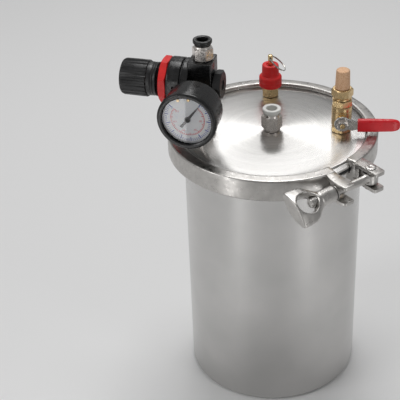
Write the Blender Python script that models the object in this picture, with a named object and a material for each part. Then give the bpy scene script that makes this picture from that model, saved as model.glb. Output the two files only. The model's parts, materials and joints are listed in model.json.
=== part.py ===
"""Small stainless pressure pot with a clamped lid, an air regulator with gauge,
a relief valve, a fluid outlet fitting and a vent valve with silencer.

World frame: origin at the middle of the flat base, +Z up, -Y towards the front.
All sizes below are in millimetres; meshes are scaled to metres when they are made.
"""

import math

import bmesh
import bpy
from mathutils import Matrix, Vector

MM = 0.001
GAP = 0.3  # clearance between neighbouring pieces

# ---------------------------------------------------------------- driving sizes
# Pot and lid
POT_R = 66.5
POT_WALL = 2.0
POT_BASE = 2.2
POT_CORNER = 3.0
JOINT_Z = 202.6  # middle of the gasket
FLANGE_R = 72.5
FLANGE_RIM = 1.5
FLANGE_SLOPE = math.tan(math.radians(20))
GASKET_T = 1.8
LID_TOP = JOINT_Z + 5.6
LID_BOSS_R = 69.2  # the lid's raised middle, just inside the clamp's lips
LID_UNDER = JOINT_Z - 1.6
LID_SPIGOT_R = 63.6
THREAD_END = JOINT_Z - 4.6  # lower end of every thread that passes the lid
ROUND = 48  # sides of the large turned pieces

# Clamp
CLOSURE_DEG = -51.3
RING_LIP_R = 69.9
RING_GROOVE_R = 73.3
RING_R = 78.3
RING_HALF_H = 8.4
LEFT_LUG_V = -6.2  # face towards the closure plane of each lug
RIGHT_LUG_V = 12.8
LUG_OUTER = 98.3
LUG_WEB = 80.5
EAR_INNER = 5.0  # half the slot between two ears
EAR_OUTER = 7.8
RIGHT_LUG_W = 9.4
REAR_PIN_U = -85.0
KNUCKLE_R = 6.0
KNUCKLE_SPLIT = 3.6
PIN_R = 3.0
PIN_HOLE_R = 3.3
PIN_HEAD_R = 3.9
BOLT_PIN_U = 88.5
BOLT_PIN_V = 17.0
LUG_FACE = 33.2  # radius about the bolt's pin of the face that the nut bears on
BOLT_SHANK_R = 3.1
BOLT_THREAD_R = 3.8
BOLT_END = 55.5
NUT_BORE_R = 4.2
NUT_BARREL_R = 6.0
NUT_START = LUG_FACE + GAP
WASHER_T = 1.2
NUT_LENGTH = 36.6
WING_SPAN = 14.5
WING_TURN_DEG = 57.0  # lean of the wings from upright
WINDOW_AT = 59.4
WINDOW_R = 9.2

# Push-in fittings
OUTLET_X = -0.8
TUBE_R = 4.05
PORT_R = 4.6
PORT_HOLE_R = 5.0
FITTING_HALF_FLATS = 6.75
COLLAR_R = 6.95
COLLAR_SLEEVE_R = 5.4
COLLAR_BORE_R = 5.7

# Relief valve
RELIEF_AT = (-1.9, 56.0)
RELIEF_CAP_Z = 216.4
RELIEF_SHOULDER_Z = 225.5
RELIEF_TOP_Z = 234.6
RELIEF_STEM_TOP = 242.4
RELIEF_RING_Z = 239.8
RELIEF_RING_R = 7.5
RELIEF_RING_DROP_DEG = 40.0
RELIEF_WIRE_R = 0.65

# Ball valve and silencer
VALVE_X = 50.7
VALVE_STEM_Z = 219.2
VALVE_BODY_R = 7.5
VALVE_TOP_Z = 229.0
VALVE_END_Z = 234.2
VALVE_THREAD_R = 6.0
BALL_R = 4.6
BALL_BORE_R = 2.6
SILENCER_HEX_TOP = 243.0
SILENCER_TOP = 257.6
LEVER_PLATE_NEAR = 10.8
LEVER_PLATE_FAR = 12.4
LEVER_END = 39.6
LEVER_DROP = 0.95  # the lever's blade and sleeve lie this much below its stem
LEVER_BLADE_HALF_H = 3.3
SLEEVE_START = 11.2
SLEEVE_END = 42.4
SLEEVE_HALF_H = 5.15
SLEEVE_Y = (9.3, 14.2)

# Regulator: distances along its axis run from its middle towards the knob
REG_AT = (-50.0, 0.0)
REG_YAW_DEG = -12.0
REG_Z = 246.4
BLOCK_BOTTOM = 229.8
BLOCK_TOP = 266.0
BLOCK_HALF_D = 10.0
BLOCK_ENDS = (-8.0, 9.6)
BONNET_R = 17.9
FLANGE_END = 13.0
BONNET_SHOULDER = 24.4
BONNET_THREAD_R = 13.0
BONNET_THREAD_END = 33.0
BONNET_NECK_R = 10.2
BONNET_NECK_END = 47.5
PANEL_NUT = (24.7, 30.3)
PANEL_NUT_CORNER_R = 17.8
KNOB_R = 13.5
KNOB_COLLAR_R = 12.4
KNOB = (33.5, 40.5, 61.0)  # near end, where the flutes begin, far end
KNOB_FLOOR = 57.0
FLUTES = 20
FLUTE_DEPTH = 0.7
FLUTED = -1  # marks a turned station whose outline has the flutes
PLUG_END = -14.2

# Gauge: its own axis points to the front, at right angles to the regulator's
GAUGE_Z = 240.9
GAUGE_BACK = 23.5
GAUGE_CASE_END = 43.6
GAUGE_FRONT = 49.6
GAUGE_CASE_R = 20.6
GAUGE_BEZEL_R = 21.5
GAUGE_OPENING_R = 17.7
GAUGE_DIAL_AT = 44.6
POINTER_DEG = 52.0  # from the gauge's right, at zero pressure
DIAL_SCREWS = ((-6.3, 14.3), (1.2, 15.4))

# ---------------------------------------------------------------- materials
FINISHES = {
    "polished_steel": ((0.62, 0.61, 0.59), 0.22, 1.0),
    "cast_steel": ((0.58, 0.56, 0.53), 0.26, 1.0),
    "nickel": ((0.60, 0.58, 0.55), 0.2, 1.0),
    "brass": ((0.62, 0.46, 0.22), 0.3, 1.0),
    "sintered_bronze": ((0.72, 0.5, 0.32), 0.75, 0.6),
    "red_plastic": ((0.75, 0.03, 0.02), 0.35, 0.0),
    "red_vinyl": ((0.72, 0.02, 0.03), 0.4, 0.0),
    "black_plastic": ((0.02, 0.02, 0.02), 0.42, 0.0),
    "black_paint": ((0.015, 0.015, 0.015), 0.35, 0.0),
    "white_plastic": ((0.82, 0.82, 0.8), 0.4, 0.0),
    "black_rubber": ((0.02, 0.02, 0.022), 0.7, 0.0),
    "spring_steel": ((0.45, 0.44, 0.42), 0.3, 1.0),
    "dial_face": ((0.8, 0.84, 0.9), 0.5, 0.0),
    "clear_lens": ((0.9, 0.95, 1.0), 0.05, 0.0),
    "ptfe": ((0.85, 0.85, 0.84), 0.55, 0.0),
}


def finish(name):
    """The Principled material of that name, made the first time it is asked for."""
    if name in bpy.data.materials:
        return bpy.data.materials[name]
    colour, roughness, metallic = FINISHES[name]
    material = bpy.data.materials.new(name)
    material.use_nodes = True
    shader = material.node_tree.nodes["Principled BSDF"]
    shader.inputs["Base Color"].default_value = (*colour, 1.0)
    shader.inputs["Roughness"].default_value = roughness
    shader.inputs["Metallic"].default_value = metallic
    return material


# ---------------------------------------------------------------- places
def place(origin, x_axis=(1, 0, 0), z_axis=(0, 0, 1)):
    """A place in the world: its origin in millimetres, its X and its Z directions."""
    z = Vector(z_axis).normalized()
    x = Vector(x_axis).normalized()
    y = z.cross(x)
    turn = Matrix((x, y, z)).transposed().to_4x4()
    return Matrix.Translation(Vector(origin) * MM) @ turn


def direction(degrees):
    """A level direction at that angle from +X."""
    return Vector((math.cos(math.radians(degrees)), math.sin(math.radians(degrees)), 0))


OUTWARD = direction(CLOSURE_DEG)  # from the pot's axis to the closure
ALONG = direction(CLOSURE_DEG + 90)  # from the left lug to the right lug
REG_RIGHT = direction(REG_YAW_DEG)
REG_FRONT = direction(REG_YAW_DEG - 90)
UP = Vector((0, 0, 1))


def on_closure(u, v, height=0.0):
    """A point given by its distance out from the axis and across the closure."""
    return OUTWARD * u + ALONG * v + UP * (JOINT_Z + height)


def on_regulator(right, front, z):
    """A point given by its distances right of and in front of the regulator's middle."""
    return Vector((*REG_AT, z)) + REG_RIGHT * right + REG_FRONT * front


WORLD = place((0, 0, 0))
OUTLET = place((OUTLET_X, 0, 0))
CLOSURE = place((0, 0, JOINT_Z), OUTWARD)
REAR_PIN = place(on_closure(REAR_PIN_U, 0), OUTWARD)
BOLT_PIN = place(on_closure(BOLT_PIN_U, BOLT_PIN_V), OUTWARD)
BOLT_AXIS = place(on_closure(BOLT_PIN_U, BOLT_PIN_V), OUTWARD, -ALONG)
RELIEF = place((*RELIEF_AT, 0))
VALVE = place((VALVE_X, 0, 0))
VALVE_STEM = place((VALVE_X, 0, VALVE_STEM_Z), (1, 0, 0), (0, -1, 0))
REG_DOWN = place(on_regulator(0, 0, 0), REG_RIGHT)
REG_AXIS = place(on_regulator(0, 0, REG_Z), REG_FRONT, -REG_RIGHT)
GAUGE = place(on_regulator(0, 0, GAUGE_Z), REG_RIGHT, REG_FRONT)


# ---------------------------------------------------------------- modelling helpers
def make(name, mesh_data, at, material):
    """An object from a bmesh in millimetres, shaded smooth with sharp edges kept."""
    bmesh.ops.recalc_face_normals(mesh_data, faces=mesh_data.faces)
    bmesh.ops.scale(mesh_data, vec=(MM, MM, MM), verts=mesh_data.verts)
    mesh = bpy.data.meshes.new(name)
    mesh_data.to_mesh(mesh)
    mesh_data.free()
    mesh.shade_smooth()
    mesh.set_sharp_from_angle(angle=math.radians(32))
    mesh.materials.append(finish(material))
    thing = bpy.data.objects.new(name, mesh)
    bpy.context.scene.collection.objects.link(thing)
    thing.matrix_world = at
    return thing


def helper(thing):
    """Marks an object as a guide that only shapes another one."""
    thing.hide_render = True
    thing.display_type = "WIRE"
    return thing


def combine(thing, other, operation):
    """A Boolean of thing with another object, which becomes its guide."""
    step = thing.modifiers.new(operation.lower(), "BOOLEAN")
    step.operation = operation
    step.object = helper(other)
    step.solver = "EXACT"


def cut(thing, *cutters):
    for cutter in cutters:
        combine(thing, cutter, "DIFFERENCE")


def fuse(thing, *others):
    for other in others:
        combine(thing, other, "UNION")


def station_radius(size, sides, angle):
    """Radius at an angle of a round (sides 0), flat-sided or fluted station."""
    if not sides:
        return size
    if sides == FLUTED:
        return size - FLUTE_DEPTH * (round(angle * FLUTES / math.pi) % 2)
    step = math.tau / sides
    return size / math.cos(angle % step - step / 2)


def turned(name, stations, at, material, segments=18, turn_deg=0.0):
    """A closed body lofted through stations (size, z[, sides]) about the local Z axis.

    The size is a radius, or half the distance across flats where sides is given.
    Stations at size 0 stand for flat ends; without them the last one joins the first.
    """
    mesh_data = bmesh.new()
    rings = []
    for size, z, *sides in stations:
        if size == 0:
            continue
        ring = []
        for k in range(segments):
            angle = math.tau * k / segments
            radius = station_radius(size, sides[0] if sides else 0, angle)
            heading = angle + math.radians(turn_deg)
            point = (radius * math.cos(heading), radius * math.sin(heading), z)
            ring.append(mesh_data.verts.new(point))
        rings.append(ring)
    if len(rings) < len(stations):
        mesh_data.faces.new(rings[0])
        mesh_data.faces.new(rings[-1])
    else:
        rings.append(rings[0])
    for low, high in zip(rings, rings[1:]):
        for k in range(segments):
            n = (k + 1) % segments
            mesh_data.faces.new((low[k], low[n], high[n], high[k]))
    return make(name, mesh_data, at, material)


def extruded(name, outline, low, high, at, material):
    """A prism on an outline of (x, y) points, from low to high along local Z."""
    mesh_data = bmesh.new()
    base = mesh_data.faces.new([mesh_data.verts.new((x, y, low)) for x, y in outline])
    grown = bmesh.ops.extrude_face_region(mesh_data, geom=[base])
    top = [v for v in grown["geom"] if isinstance(v, bmesh.types.BMVert)]
    bmesh.ops.translate(mesh_data, vec=(0, 0, high - low), verts=top)
    return make(name, mesh_data, at, material)


def lofted(name, sections, at, material):
    """A closed body through a list of closed sections with equal point counts."""
    mesh_data = bmesh.new()
    rings = [[mesh_data.verts.new(p) for p in section] for section in sections]
    count = len(rings[0])
    for low, high in zip(rings, rings[1:]):
        for k in range(count):
            n = (k + 1) % count
            mesh_data.faces.new((low[k], low[n], high[n], high[k]))
    mesh_data.faces.new(rings[0])
    mesh_data.faces.new(rings[-1])
    return make(name, mesh_data, at, material)


def piped(name, path, radius, sides, at, material, closed=False):
    """A round wire or tube along a path of points, with flat ends unless closed."""
    points = [Vector(p) for p in path]
    count = len(points)
    normal = None
    sections = []
    for k, point in enumerate(points):
        before = points[k - 1] if k or closed else point
        after = points[(k + 1) % count] if k < count - 1 or closed else point
        heading = (after - before).normalized()
        if normal is None:
            normal = heading.orthogonal().normalized()
        normal = (normal - heading * normal.dot(heading)).normalized()
        side = heading.cross(normal)
        ring = []
        for s in range(sides):
            angle = math.tau * s / sides
            ring.append(point + (normal * math.cos(angle) + side * math.sin(angle)) * radius)
        sections.append(ring)
    if not closed:
        return lofted(name, sections, at, material)
    mesh_data = bmesh.new()
    rings = [[mesh_data.verts.new(p) for p in ring] for ring in sections]
    for low, high in zip(rings, rings[1:] + rings[:1]):
        for s in range(sides):
            n = (s + 1) % sides
            mesh_data.faces.new((low[s], low[n], high[n], high[s]))
    return make(name, mesh_data, at, material)


def rod(name, radius, low, high, at, segments=18, turn_deg=3.0):
    """A plain round bar, used as a cutter or as a piece to fuse.

    It is turned a little, so that its corners miss the edges of what it meets.
    """
    stations = [(0, low), (radius, low), (radius, high), (0, high)]
    return turned(name, stations, at, "cast_steel", segments, turn_deg)


def arc(centre, radius, start_deg, end_deg, steps):
    """Points along an arc, both ends included."""
    points = []
    for k in range(steps + 1):
        angle = math.radians(start_deg + (end_deg - start_deg) * k / steps)
        points.append((centre[0] + radius * math.cos(angle), centre[1] + radius * math.sin(angle)))
    return points


def rounded_box(x_range, y_range, radius, steps=3):
    """The outline of a rectangle with round corners."""
    (x0, x1), (y0, y1) = x_range, y_range
    outline = arc((x1 - radius, y0 + radius), radius, -90, 0, steps)
    outline += arc((x1 - radius, y1 - radius), radius, 0, 90, steps)
    outline += arc((x0 + radius, y1 - radius), radius, 90, 180, steps)
    outline += arc((x0 + radius, y0 + radius), radius, 180, 270, steps)
    return outline


def coil(turns, radius, low, high, per_turn):
    """Points along a helix about the local Z axis."""
    steps = int(turns * per_turn)
    points = []
    for k in range(steps + 1):
        angle = math.tau * turns * k / steps
        z = low + (high - low) * k / steps
        points.append((radius * math.cos(angle), radius * math.sin(angle), z))
    return points


# ---------------------------------------------------------------- pot and lid
def pot_shell():
    inner = POT_R - POT_WALL
    top = JOINT_Z - GASKET_T / 2 - GAP
    rim = top - FLANGE_RIM
    neck_r = POT_R + 1.5
    neck_z = rim - (FLANGE_R - neck_r) * FLANGE_SLOPE
    outline = [(0, 0), (POT_R - POT_CORNER, 0)]
    outline += arc((POT_R - POT_CORNER, POT_CORNER), POT_CORNER, -67.5, 0, 3)
    outline += [(POT_R, neck_z - 1.6), (neck_r, neck_z), (FLANGE_R, rim), (FLANGE_R, top)]
    outline += [(inner, top), (inner, POT_BASE + 2.0), (inner - 2.0, POT_BASE), (0, POT_BASE)]
    turned("pot_shell", outline, WORLD, "polished_steel", ROUND)


def gasket():
    half = GASKET_T / 2
    ring = [(FLANGE_R + 0.4, -half), (FLANGE_R + 0.4, half), (POT_R - 1.9, half), (POT_R - 1.9, -half)]
    turned("gasket", ring, CLOSURE, "black_rubber", ROUND)


def lid_plate():
    under = GASKET_T / 2 + GAP + JOINT_Z
    rim = under + FLANGE_RIM
    shoulder = rim + (FLANGE_R - LID_BOSS_R) * FLANGE_SLOPE
    outline = [(0, LID_UNDER), (LID_SPIGOT_R, LID_UNDER), (LID_SPIGOT_R, under), (FLANGE_R, under)]
    outline += [(FLANGE_R, rim), (LID_BOSS_R, shoulder), (LID_BOSS_R, LID_TOP - 0.4)]
    outline += [(LID_BOSS_R - 0.4, LID_TOP), (0, LID_TOP)]
    lid = turned("lid_plate", outline, WORLD, "polished_steel", ROUND)
    span = (LID_UNDER - 2, LID_TOP + 2)
    cut(
        lid,
        rod("hole_outlet", PORT_HOLE_R, *span, OUTLET),
        rod("hole_relief", PORT_HOLE_R, *span, RELIEF),
        rod("hole_valve", VALVE_THREAD_R + 0.4, *span, VALVE),
        rod("hole_regulator", PORT_HOLE_R, *span, REG_DOWN),
    )


# ---------------------------------------------------------------- clamp
def clamp_section():
    """The ring's cross-section as (radius, height) points, alike above and below."""
    top = [(RING_GROOVE_R, 2.85), (RING_LIP_R, 4.1), (RING_LIP_R, 7.7), (70.6, RING_HALF_H)]
    top += [(77.3, 8.1), (RING_R, 7.0)]
    return top + [(r, -z) for r, z in reversed(top)]


def ring_segment(name, start_deg, end_deg, at_pivot, pivot, material="cast_steel"):
    """Part of the clamp's ring between two angles, made about a pivot's place."""
    steps = round(abs(end_deg - start_deg) / 6)
    shift = pivot.inverted() @ CLOSURE
    shift.translation /= MM
    sections = []
    for k in range(steps + 1):
        angle = math.radians(start_deg + (end_deg - start_deg) * k / steps)
        across, up = math.cos(angle), math.sin(angle)
        sections.append([shift @ Vector((r * across, r * up, z)) for r, z in clamp_section()])
    return lofted(name, sections, at_pivot, material)


def plate(name, outline, low, high):
    """A plate in the closure's own axes."""
    return extruded(name, outline, low, high, CLOSURE, "cast_steel")


def left_lug_outline():
    """The left lug from above: its far face is round about the bolt's pin."""
    inner, outer = LUG_WEB - 6.5, LUG_OUTER
    centre = (BOLT_PIN_U, BOLT_PIN_V)
    first = 180 + math.degrees(math.acos((centre[0] - inner) / LUG_FACE))
    last = 180 + math.degrees(math.acos((centre[0] - (outer - 1.2)) / LUG_FACE))
    outline = arc(centre, LUG_FACE, first, last, 8)
    outline += [(outer, outline[-1][1] + 1.2), (outer, LEFT_LUG_V - 1.2), (outer - 1.2, LEFT_LUG_V)]
    return outline + [(inner, LEFT_LUG_V)]


def right_lug_outline():
    near, far = RIGHT_LUG_V, RIGHT_LUG_V + RIGHT_LUG_W
    outline = [(LUG_WEB - 6.5, near), (LUG_OUTER - 1.2, near), (LUG_OUTER, near + 1.2)]
    return outline + [(LUG_OUTER, far - 2), (LUG_OUTER - 2, far), (LUG_WEB - 5.5, far)]


def knuckle_outline(side):
    """A hinge knuckle and its arm, on the side of the closure plane given by the sign."""
    centre = (REAR_PIN_U, 0)
    if side > 0:
        outline = arc(centre, KNUCKLE_R, 130, 360, 12)
        return outline + [(-76.0, 4.0), (-73.4, 15.0), (-75.5, 18.0)]
    outline = arc(centre, KNUCKLE_R, 0, 230, 12)
    return outline + [(-75.5, -18.0), (-73.4, -15.0), (-76.0, -4.0)]


def clamp_half_left():
    half = ring_segment("clamp_half_left", -4.6, -179.2, REAR_PIN, REAR_PIN)
    lug = left_lug_outline()
    web_w = (lug[0][1] + 1.0, LEFT_LUG_V - 0.4)
    web = [(LUG_WEB - 6, web_w[0]), (LUG_WEB, web_w[0]), (LUG_WEB, web_w[1]), (LUG_WEB - 6, web_w[1])]
    arm = knuckle_outline(-1)
    top = RING_HALF_H - 0.4
    fuse(
        half,
        plate("left_web", web, -EAR_INNER - 1, EAR_INNER + 1),
        plate("left_ear_upper", lug, EAR_INNER, EAR_OUTER),
        plate("left_ear_lower", lug, -EAR_OUTER, -EAR_INNER),
        plate("left_arm_upper", arm, KNUCKLE_SPLIT + GAP, top),
        plate("left_arm_lower", arm, -top, -KNUCKLE_SPLIT - GAP),
    )
    cut(half, rod("left_pin_hole", PIN_HOLE_R, -12, 12, REAR_PIN))


def clamp_half_right():
    half = ring_segment("clamp_half_right", 9.8, 179.2, CLOSURE, CLOSURE)
    lug = right_lug_outline()
    near, far = RIGHT_LUG_V + 0.4, RIGHT_LUG_V + RIGHT_LUG_W - 0.5
    web = [(LUG_WEB - 6, near), (LUG_WEB, near), (LUG_WEB, far), (LUG_WEB - 6, far)]
    fuse(
        half,
        plate("right_web", web, -EAR_INNER - 1, EAR_INNER + 1),
        plate("right_ear_upper", lug, EAR_INNER, EAR_OUTER),
        plate("right_ear_lower", lug, -EAR_OUTER, -EAR_INNER),
        plate("right_arm", knuckle_outline(1), -KNUCKLE_SPLIT, KNUCKLE_SPLIT),
    )
    cut(
        half,
        rod("right_pin_hole", PIN_HOLE_R, -12, 12, REAR_PIN),
        rod("bolt_pin_hole", PIN_HOLE_R, -12, 12, BOLT_PIN),
    )


def headed_pin(name, at, inner_half):
    """A riveted pin whose two heads stand just clear of the ears."""
    head = inner_half + GAP
    end = head + 0.6
    stations = [(0, -end), (PIN_HEAD_R - 0.7, -end), (PIN_HEAD_R, -head), (PIN_R, -head)]
    stations += [(r, -z) for r, z in reversed(stations)]
    turned(name, stations, at, "cast_steel", 20)


def swing_bolt():
    eye_r = 5.8
    eye = turned(
        "swing_bolt",
        [
            (eye_r, -3.4), (eye_r, 3.4), (eye_r - 0.6, 4.0),
            (PIN_HOLE_R, 4.0), (PIN_HOLE_R, -4.0), (eye_r - 0.6, -4.0),
        ],
        BOLT_PIN,
        "cast_steel",
    )
    thread_start = NUT_START + 2.4
    shank = turned(
        "bolt_shank",
        [(0, 4.6), (BOLT_SHANK_R, 4.6), (BOLT_SHANK_R, thread_start), (BOLT_THREAD_R, thread_start + 0.7),
         (BOLT_THREAD_R, BOLT_END - 0.8), (BOLT_THREAD_R - 0.8, BOLT_END), (0, BOLT_END)],
        BOLT_AXIS,
        "cast_steel",
    )
    fuse(eye, shank)


def thrust_washer():
    start, end = NUT_START, NUT_START + WASHER_T
    ring = [(NUT_BORE_R, start), (NUT_BARREL_R - 0.3, start), (NUT_BARREL_R, start + 0.4)]
    ring += [(NUT_BARREL_R, end), (NUT_BORE_R, end)]
    turned("thrust_washer", ring, BOLT_AXIS, "cast_steel")


def wing_section(z, span, depth):
    """A lens across the nut's axis: round in the middle and thin at its two tips."""
    lean = math.radians(WING_TURN_DEG)
    points = []
    for k in range(16):
        angle = math.tau * k / 16
        along = span * math.cos(angle)
        thick = depth * math.sin(angle) * (1 - 0.35 * abs(math.cos(angle)))
        x = -along * math.sin(lean) + thick * math.cos(lean)
        y = along * math.cos(lean) + thick * math.sin(lean)
        points.append((x, y, z))
    return points


def wing_nut():
    start = NUT_START + WASHER_T + GAP
    end = NUT_START + NUT_LENGTH
    barrel_end = start + 13
    nut = turned(
        "wing_nut",
        [(NUT_BORE_R, start), (NUT_BARREL_R, start), (NUT_BARREL_R, barrel_end), (NUT_BORE_R, barrel_end)],
        BOLT_AXIS,
        "cast_steel",
    )
    root = barrel_end - 3
    wings = lofted(
        "wings",
        [
            wing_section(root, NUT_BARREL_R - 0.4, NUT_BARREL_R - 0.4),
            wing_section(root + (end - root) * 0.4, 8.8, 6.2),
            wing_section(root + (end - root) * 0.75, 12.2, 6.2),
            wing_section(end, WING_SPAN, 5.8),
        ],
        BOLT_AXIS,
        "cast_steel",
    )
    lean = math.radians(WING_TURN_DEG)
    centre = BOLT_AXIS @ Vector((0, 0, WINDOW_AT * MM)) / MM
    facing = OUTWARD * math.cos(lean) + UP * math.sin(lean)
    fuse(nut, wings)
    cut(
        nut,
        rod("nut_bore", NUT_BORE_R, start - 2, WINDOW_AT, BOLT_AXIS),
        rod("nut_window", WINDOW_R, -12, 12, place(centre, ALONG, facing), 24),
    )


# ---------------------------------------------------------------- push-in fittings
def fitting_stations(thread_low, seat, tube_r):
    """A push-in fitting's body from its thread up; the seat is where its hex begins."""
    floor = seat + 5.2
    shoulder = seat + 13.8
    return [
        (tube_r, thread_low),
        (PORT_R, thread_low),
        (PORT_R, seat + GAP),
        (FITTING_HALF_FLATS - 0.9, seat + GAP),
        (FITTING_HALF_FLATS - 0.9, seat + 2.4),
        (FITTING_HALF_FLATS, seat + 2.4, 6),
        (FITTING_HALF_FLATS, seat + 12.2, 6),
        (FITTING_HALF_FLATS - 0.2, seat + 12.8),
        (FITTING_HALF_FLATS - 0.4, shoulder),
        (COLLAR_BORE_R, shoulder),
        (COLLAR_BORE_R, floor),
        (tube_r, floor),
    ]


def collar_stations(seat):
    """A release collar: a flange above the fitting and a sleeve inside it."""
    sleeve_end = seat + 7.2
    flange = seat + 15.4
    top = flange + 2.9
    return [
        (TUBE_R, sleeve_end),
        (COLLAR_SLEEVE_R, sleeve_end),
        (COLLAR_SLEEVE_R, flange),
        (COLLAR_R - 0.6, flange),
        (COLLAR_R, flange + 0.7),
        (COLLAR_R, top - 0.8),
        (COLLAR_R - 0.8, top),
        (TUBE_R + 0.5, top),
        (TUBE_R, top - 0.5),
    ]


def outlet_fitting():
    turned("outlet_fitting_body", fitting_stations(THREAD_END, LID_TOP, 3.1), OUTLET, "nickel")
    turned("outlet_release_collar", collar_stations(LID_TOP), OUTLET, "white_plastic")


def inlet_fitting():
    seat = BLOCK_TOP - 2.8
    stations = fitting_stations(seat - 6.0, seat, 3.1)
    for k, (size, z, *sides) in enumerate(stations):
        if seat < z < seat + 4:
            stations[k] = (size, BLOCK_TOP + GAP, *sides)
    body = [s for k, s in enumerate(stations) if k not in (3, 4)]
    turned("inlet_fitting_body", body, REG_DOWN, "nickel")
    turned("inlet_release_collar", collar_stations(seat), REG_DOWN, "black_plastic")


# ---------------------------------------------------------------- relief valve
def relief_valve():
    neck_top = RELIEF_CAP_Z + 6.0
    chamber = LID_TOP + 3.4
    body = [(2.2, THREAD_END), (PORT_R, THREAD_END), (PORT_R, LID_TOP + GAP)]
    body += [(6.0, LID_TOP + GAP, 6), (6.0, RELIEF_CAP_Z - GAP, 6), (5.2, RELIEF_CAP_Z - GAP)]
    body += [(5.2, neck_top), (3.7, neck_top), (3.7, chamber), (2.2, chamber)]
    turned("relief_body", body, RELIEF, "brass", turn_deg=30)
    cap = [(5.6, RELIEF_CAP_Z), (8.4, RELIEF_CAP_Z), (8.8, RELIEF_CAP_Z + 0.8)]
    cap += [(8.8, RELIEF_SHOULDER_Z - 1.6), (8.3, RELIEF_SHOULDER_Z - 0.6), (7.0, RELIEF_SHOULDER_Z)]
    cap += [(6.7, RELIEF_SHOULDER_Z + 0.4), (6.4, RELIEF_TOP_Z - 1.0), (5.6, RELIEF_TOP_Z)]
    cap += [(2.3, RELIEF_TOP_Z), (2.3, RELIEF_TOP_Z - 2.0), (4.7, RELIEF_TOP_Z - 2.0)]
    cap += [(4.7, neck_top + GAP), (5.6, neck_top + GAP)]
    turned("relief_cap", cap, RELIEF, "red_plastic")
    seal_low = chamber + GAP
    seal = [(0, seal_low), (3.2, seal_low), (3.2, seal_low + 1.0), (0, seal_low + 1.0)]
    turned("relief_seal", seal, RELIEF, "black_rubber", 16)
    disc = seal_low + 1.0 + GAP
    stem = [(0, disc), (3.2, disc), (3.2, disc + 1.4), (1.4, disc + 1.4)]
    stem += [(1.4, RELIEF_TOP_Z + 2.6), (1.9, RELIEF_TOP_Z + 3.2)]
    stem += [(1.9, RELIEF_STEM_TOP - 0.7), (1.2, RELIEF_STEM_TOP), (0, RELIEF_STEM_TOP)]
    stem_piece = turned("relief_stem", stem, RELIEF, "brass", 20)
    eye = place((*RELIEF_AT, RELIEF_RING_Z), (1, 0, 0), (0, 1, 0))
    cut(stem_piece, rod("ring_hole", 1.15, -4, 4, eye, 16))
    low, high = disc + 2.4, RELIEF_TOP_Z - 3.0
    piped("relief_spring", coil(6, 3.0, low, high, 8), 0.4, 4, RELIEF, "spring_steel")


def relief_ring():
    drop = math.radians(RELIEF_RING_DROP_DEG)
    pivot = place((*RELIEF_AT, RELIEF_RING_Z), (1, 0, 0), (0, 1, 0))
    # local X runs right, local Y down and local Z to the back
    centre = Vector((math.cos(drop), math.sin(drop), 0))
    path = []
    for k in range(28):
        angle = math.tau * k / 28
        path.append(
            centre * (RELIEF_RING_R * (1 - math.cos(angle)) - 0.12)
            + Vector((0, 0, RELIEF_RING_R * math.sin(angle)))
        )
    piped("relief_ring", path, RELIEF_WIRE_R, 6, pivot, "spring_steel", closed=True)


# ---------------------------------------------------------------- ball valve
def valve_body():
    port = 2.6
    chamber = VALVE_STEM_Z - 6.0
    stations = [(port, THREAD_END), (VALVE_THREAD_R, THREAD_END), (VALVE_THREAD_R, LID_TOP + GAP)]
    stations += [(7.0, LID_TOP + GAP, 6), (7.0, LID_TOP + 4.6, 6), (VALVE_BODY_R, LID_TOP + 5.2)]
    stations += [(VALVE_BODY_R, VALVE_TOP_Z), (5.7, VALVE_TOP_Z), (5.7, chamber), (port, chamber)]
    body = turned("valve_body", stations, VALVE, "brass", turn_deg=30)
    fuse(body, rod("stem_boss", 4.2, 6.2, 10.3, VALVE_STEM))
    cut(body, rod("stem_hole", 2.3, 3.5, 12, VALVE_STEM))


def valve_end_piece():
    low = VALVE_STEM_Z + 6.0
    stations = [(2.6, low), (5.3, low), (5.3, VALVE_TOP_Z + GAP), (7.0, VALVE_TOP_Z + GAP, 6)]
    stations += [(7.0, VALVE_END_Z, 6), (5.2, VALVE_END_Z), (5.2, VALVE_TOP_Z + 1), (2.6, VALVE_TOP_Z + 1)]
    turned("valve_end_piece", stations, VALVE, "brass", turn_deg=30)


def valve_seats():
    for name, low in (("valve_seat_lower", -5.7), ("valve_seat_upper", 3.9)):
        ring = [(3.1, low), (5.3, low), (5.3, low + 1.8), (3.1, low + 1.8)]
        at = place((VALVE_X, 0, VALVE_STEM_Z))
        turned(name, ring, at, "ptfe", 20)


def valve_ball():
    steps = 7
    edge = math.degrees(math.asin(BALL_BORE_R / BALL_R))
    outer = arc((0, 0), BALL_R, 90 - edge, edge - 90, steps)
    stations = [(x, y) for x, y in outer]
    turned(
        "valve_ball",
        stations,
        place((VALVE_X, 0, VALVE_STEM_Z), (0, 0, 1), (1, 0, 0)),
        "nickel",
        20,
    )


def valve_stem():
    near = BALL_R + GAP
    stations = [(0, near), (1.9, near), (1.9, 16.0), (1.3, 16.4), (0, 16.4)]
    turned("valve_stem", stations, VALVE_STEM, "brass", 16)


def valve_lever():
    low, high = -LEVER_DROP - LEVER_BLADE_HALF_H, -LEVER_DROP + LEVER_BLADE_HALF_H
    outline = arc((0, 0), 5.9, 40, 320, 14) + [(9.5, low - 0.8), (12.5, low)]
    outline += arc((LEVER_END - 3, low + 3), 3, -90, 0, 2)
    outline += arc((LEVER_END - 3, high - 3), 3, 0, 90, 2)
    outline += [(12.5, high), (9.5, high + 0.8)]
    lever = extruded("valve_lever", outline, LEVER_PLATE_NEAR, LEVER_PLATE_FAR, VALVE_STEM, "polished_steel")
    cut(lever, rod("lever_hole", 2.2, 8, 15, VALVE_STEM, 16))


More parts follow.
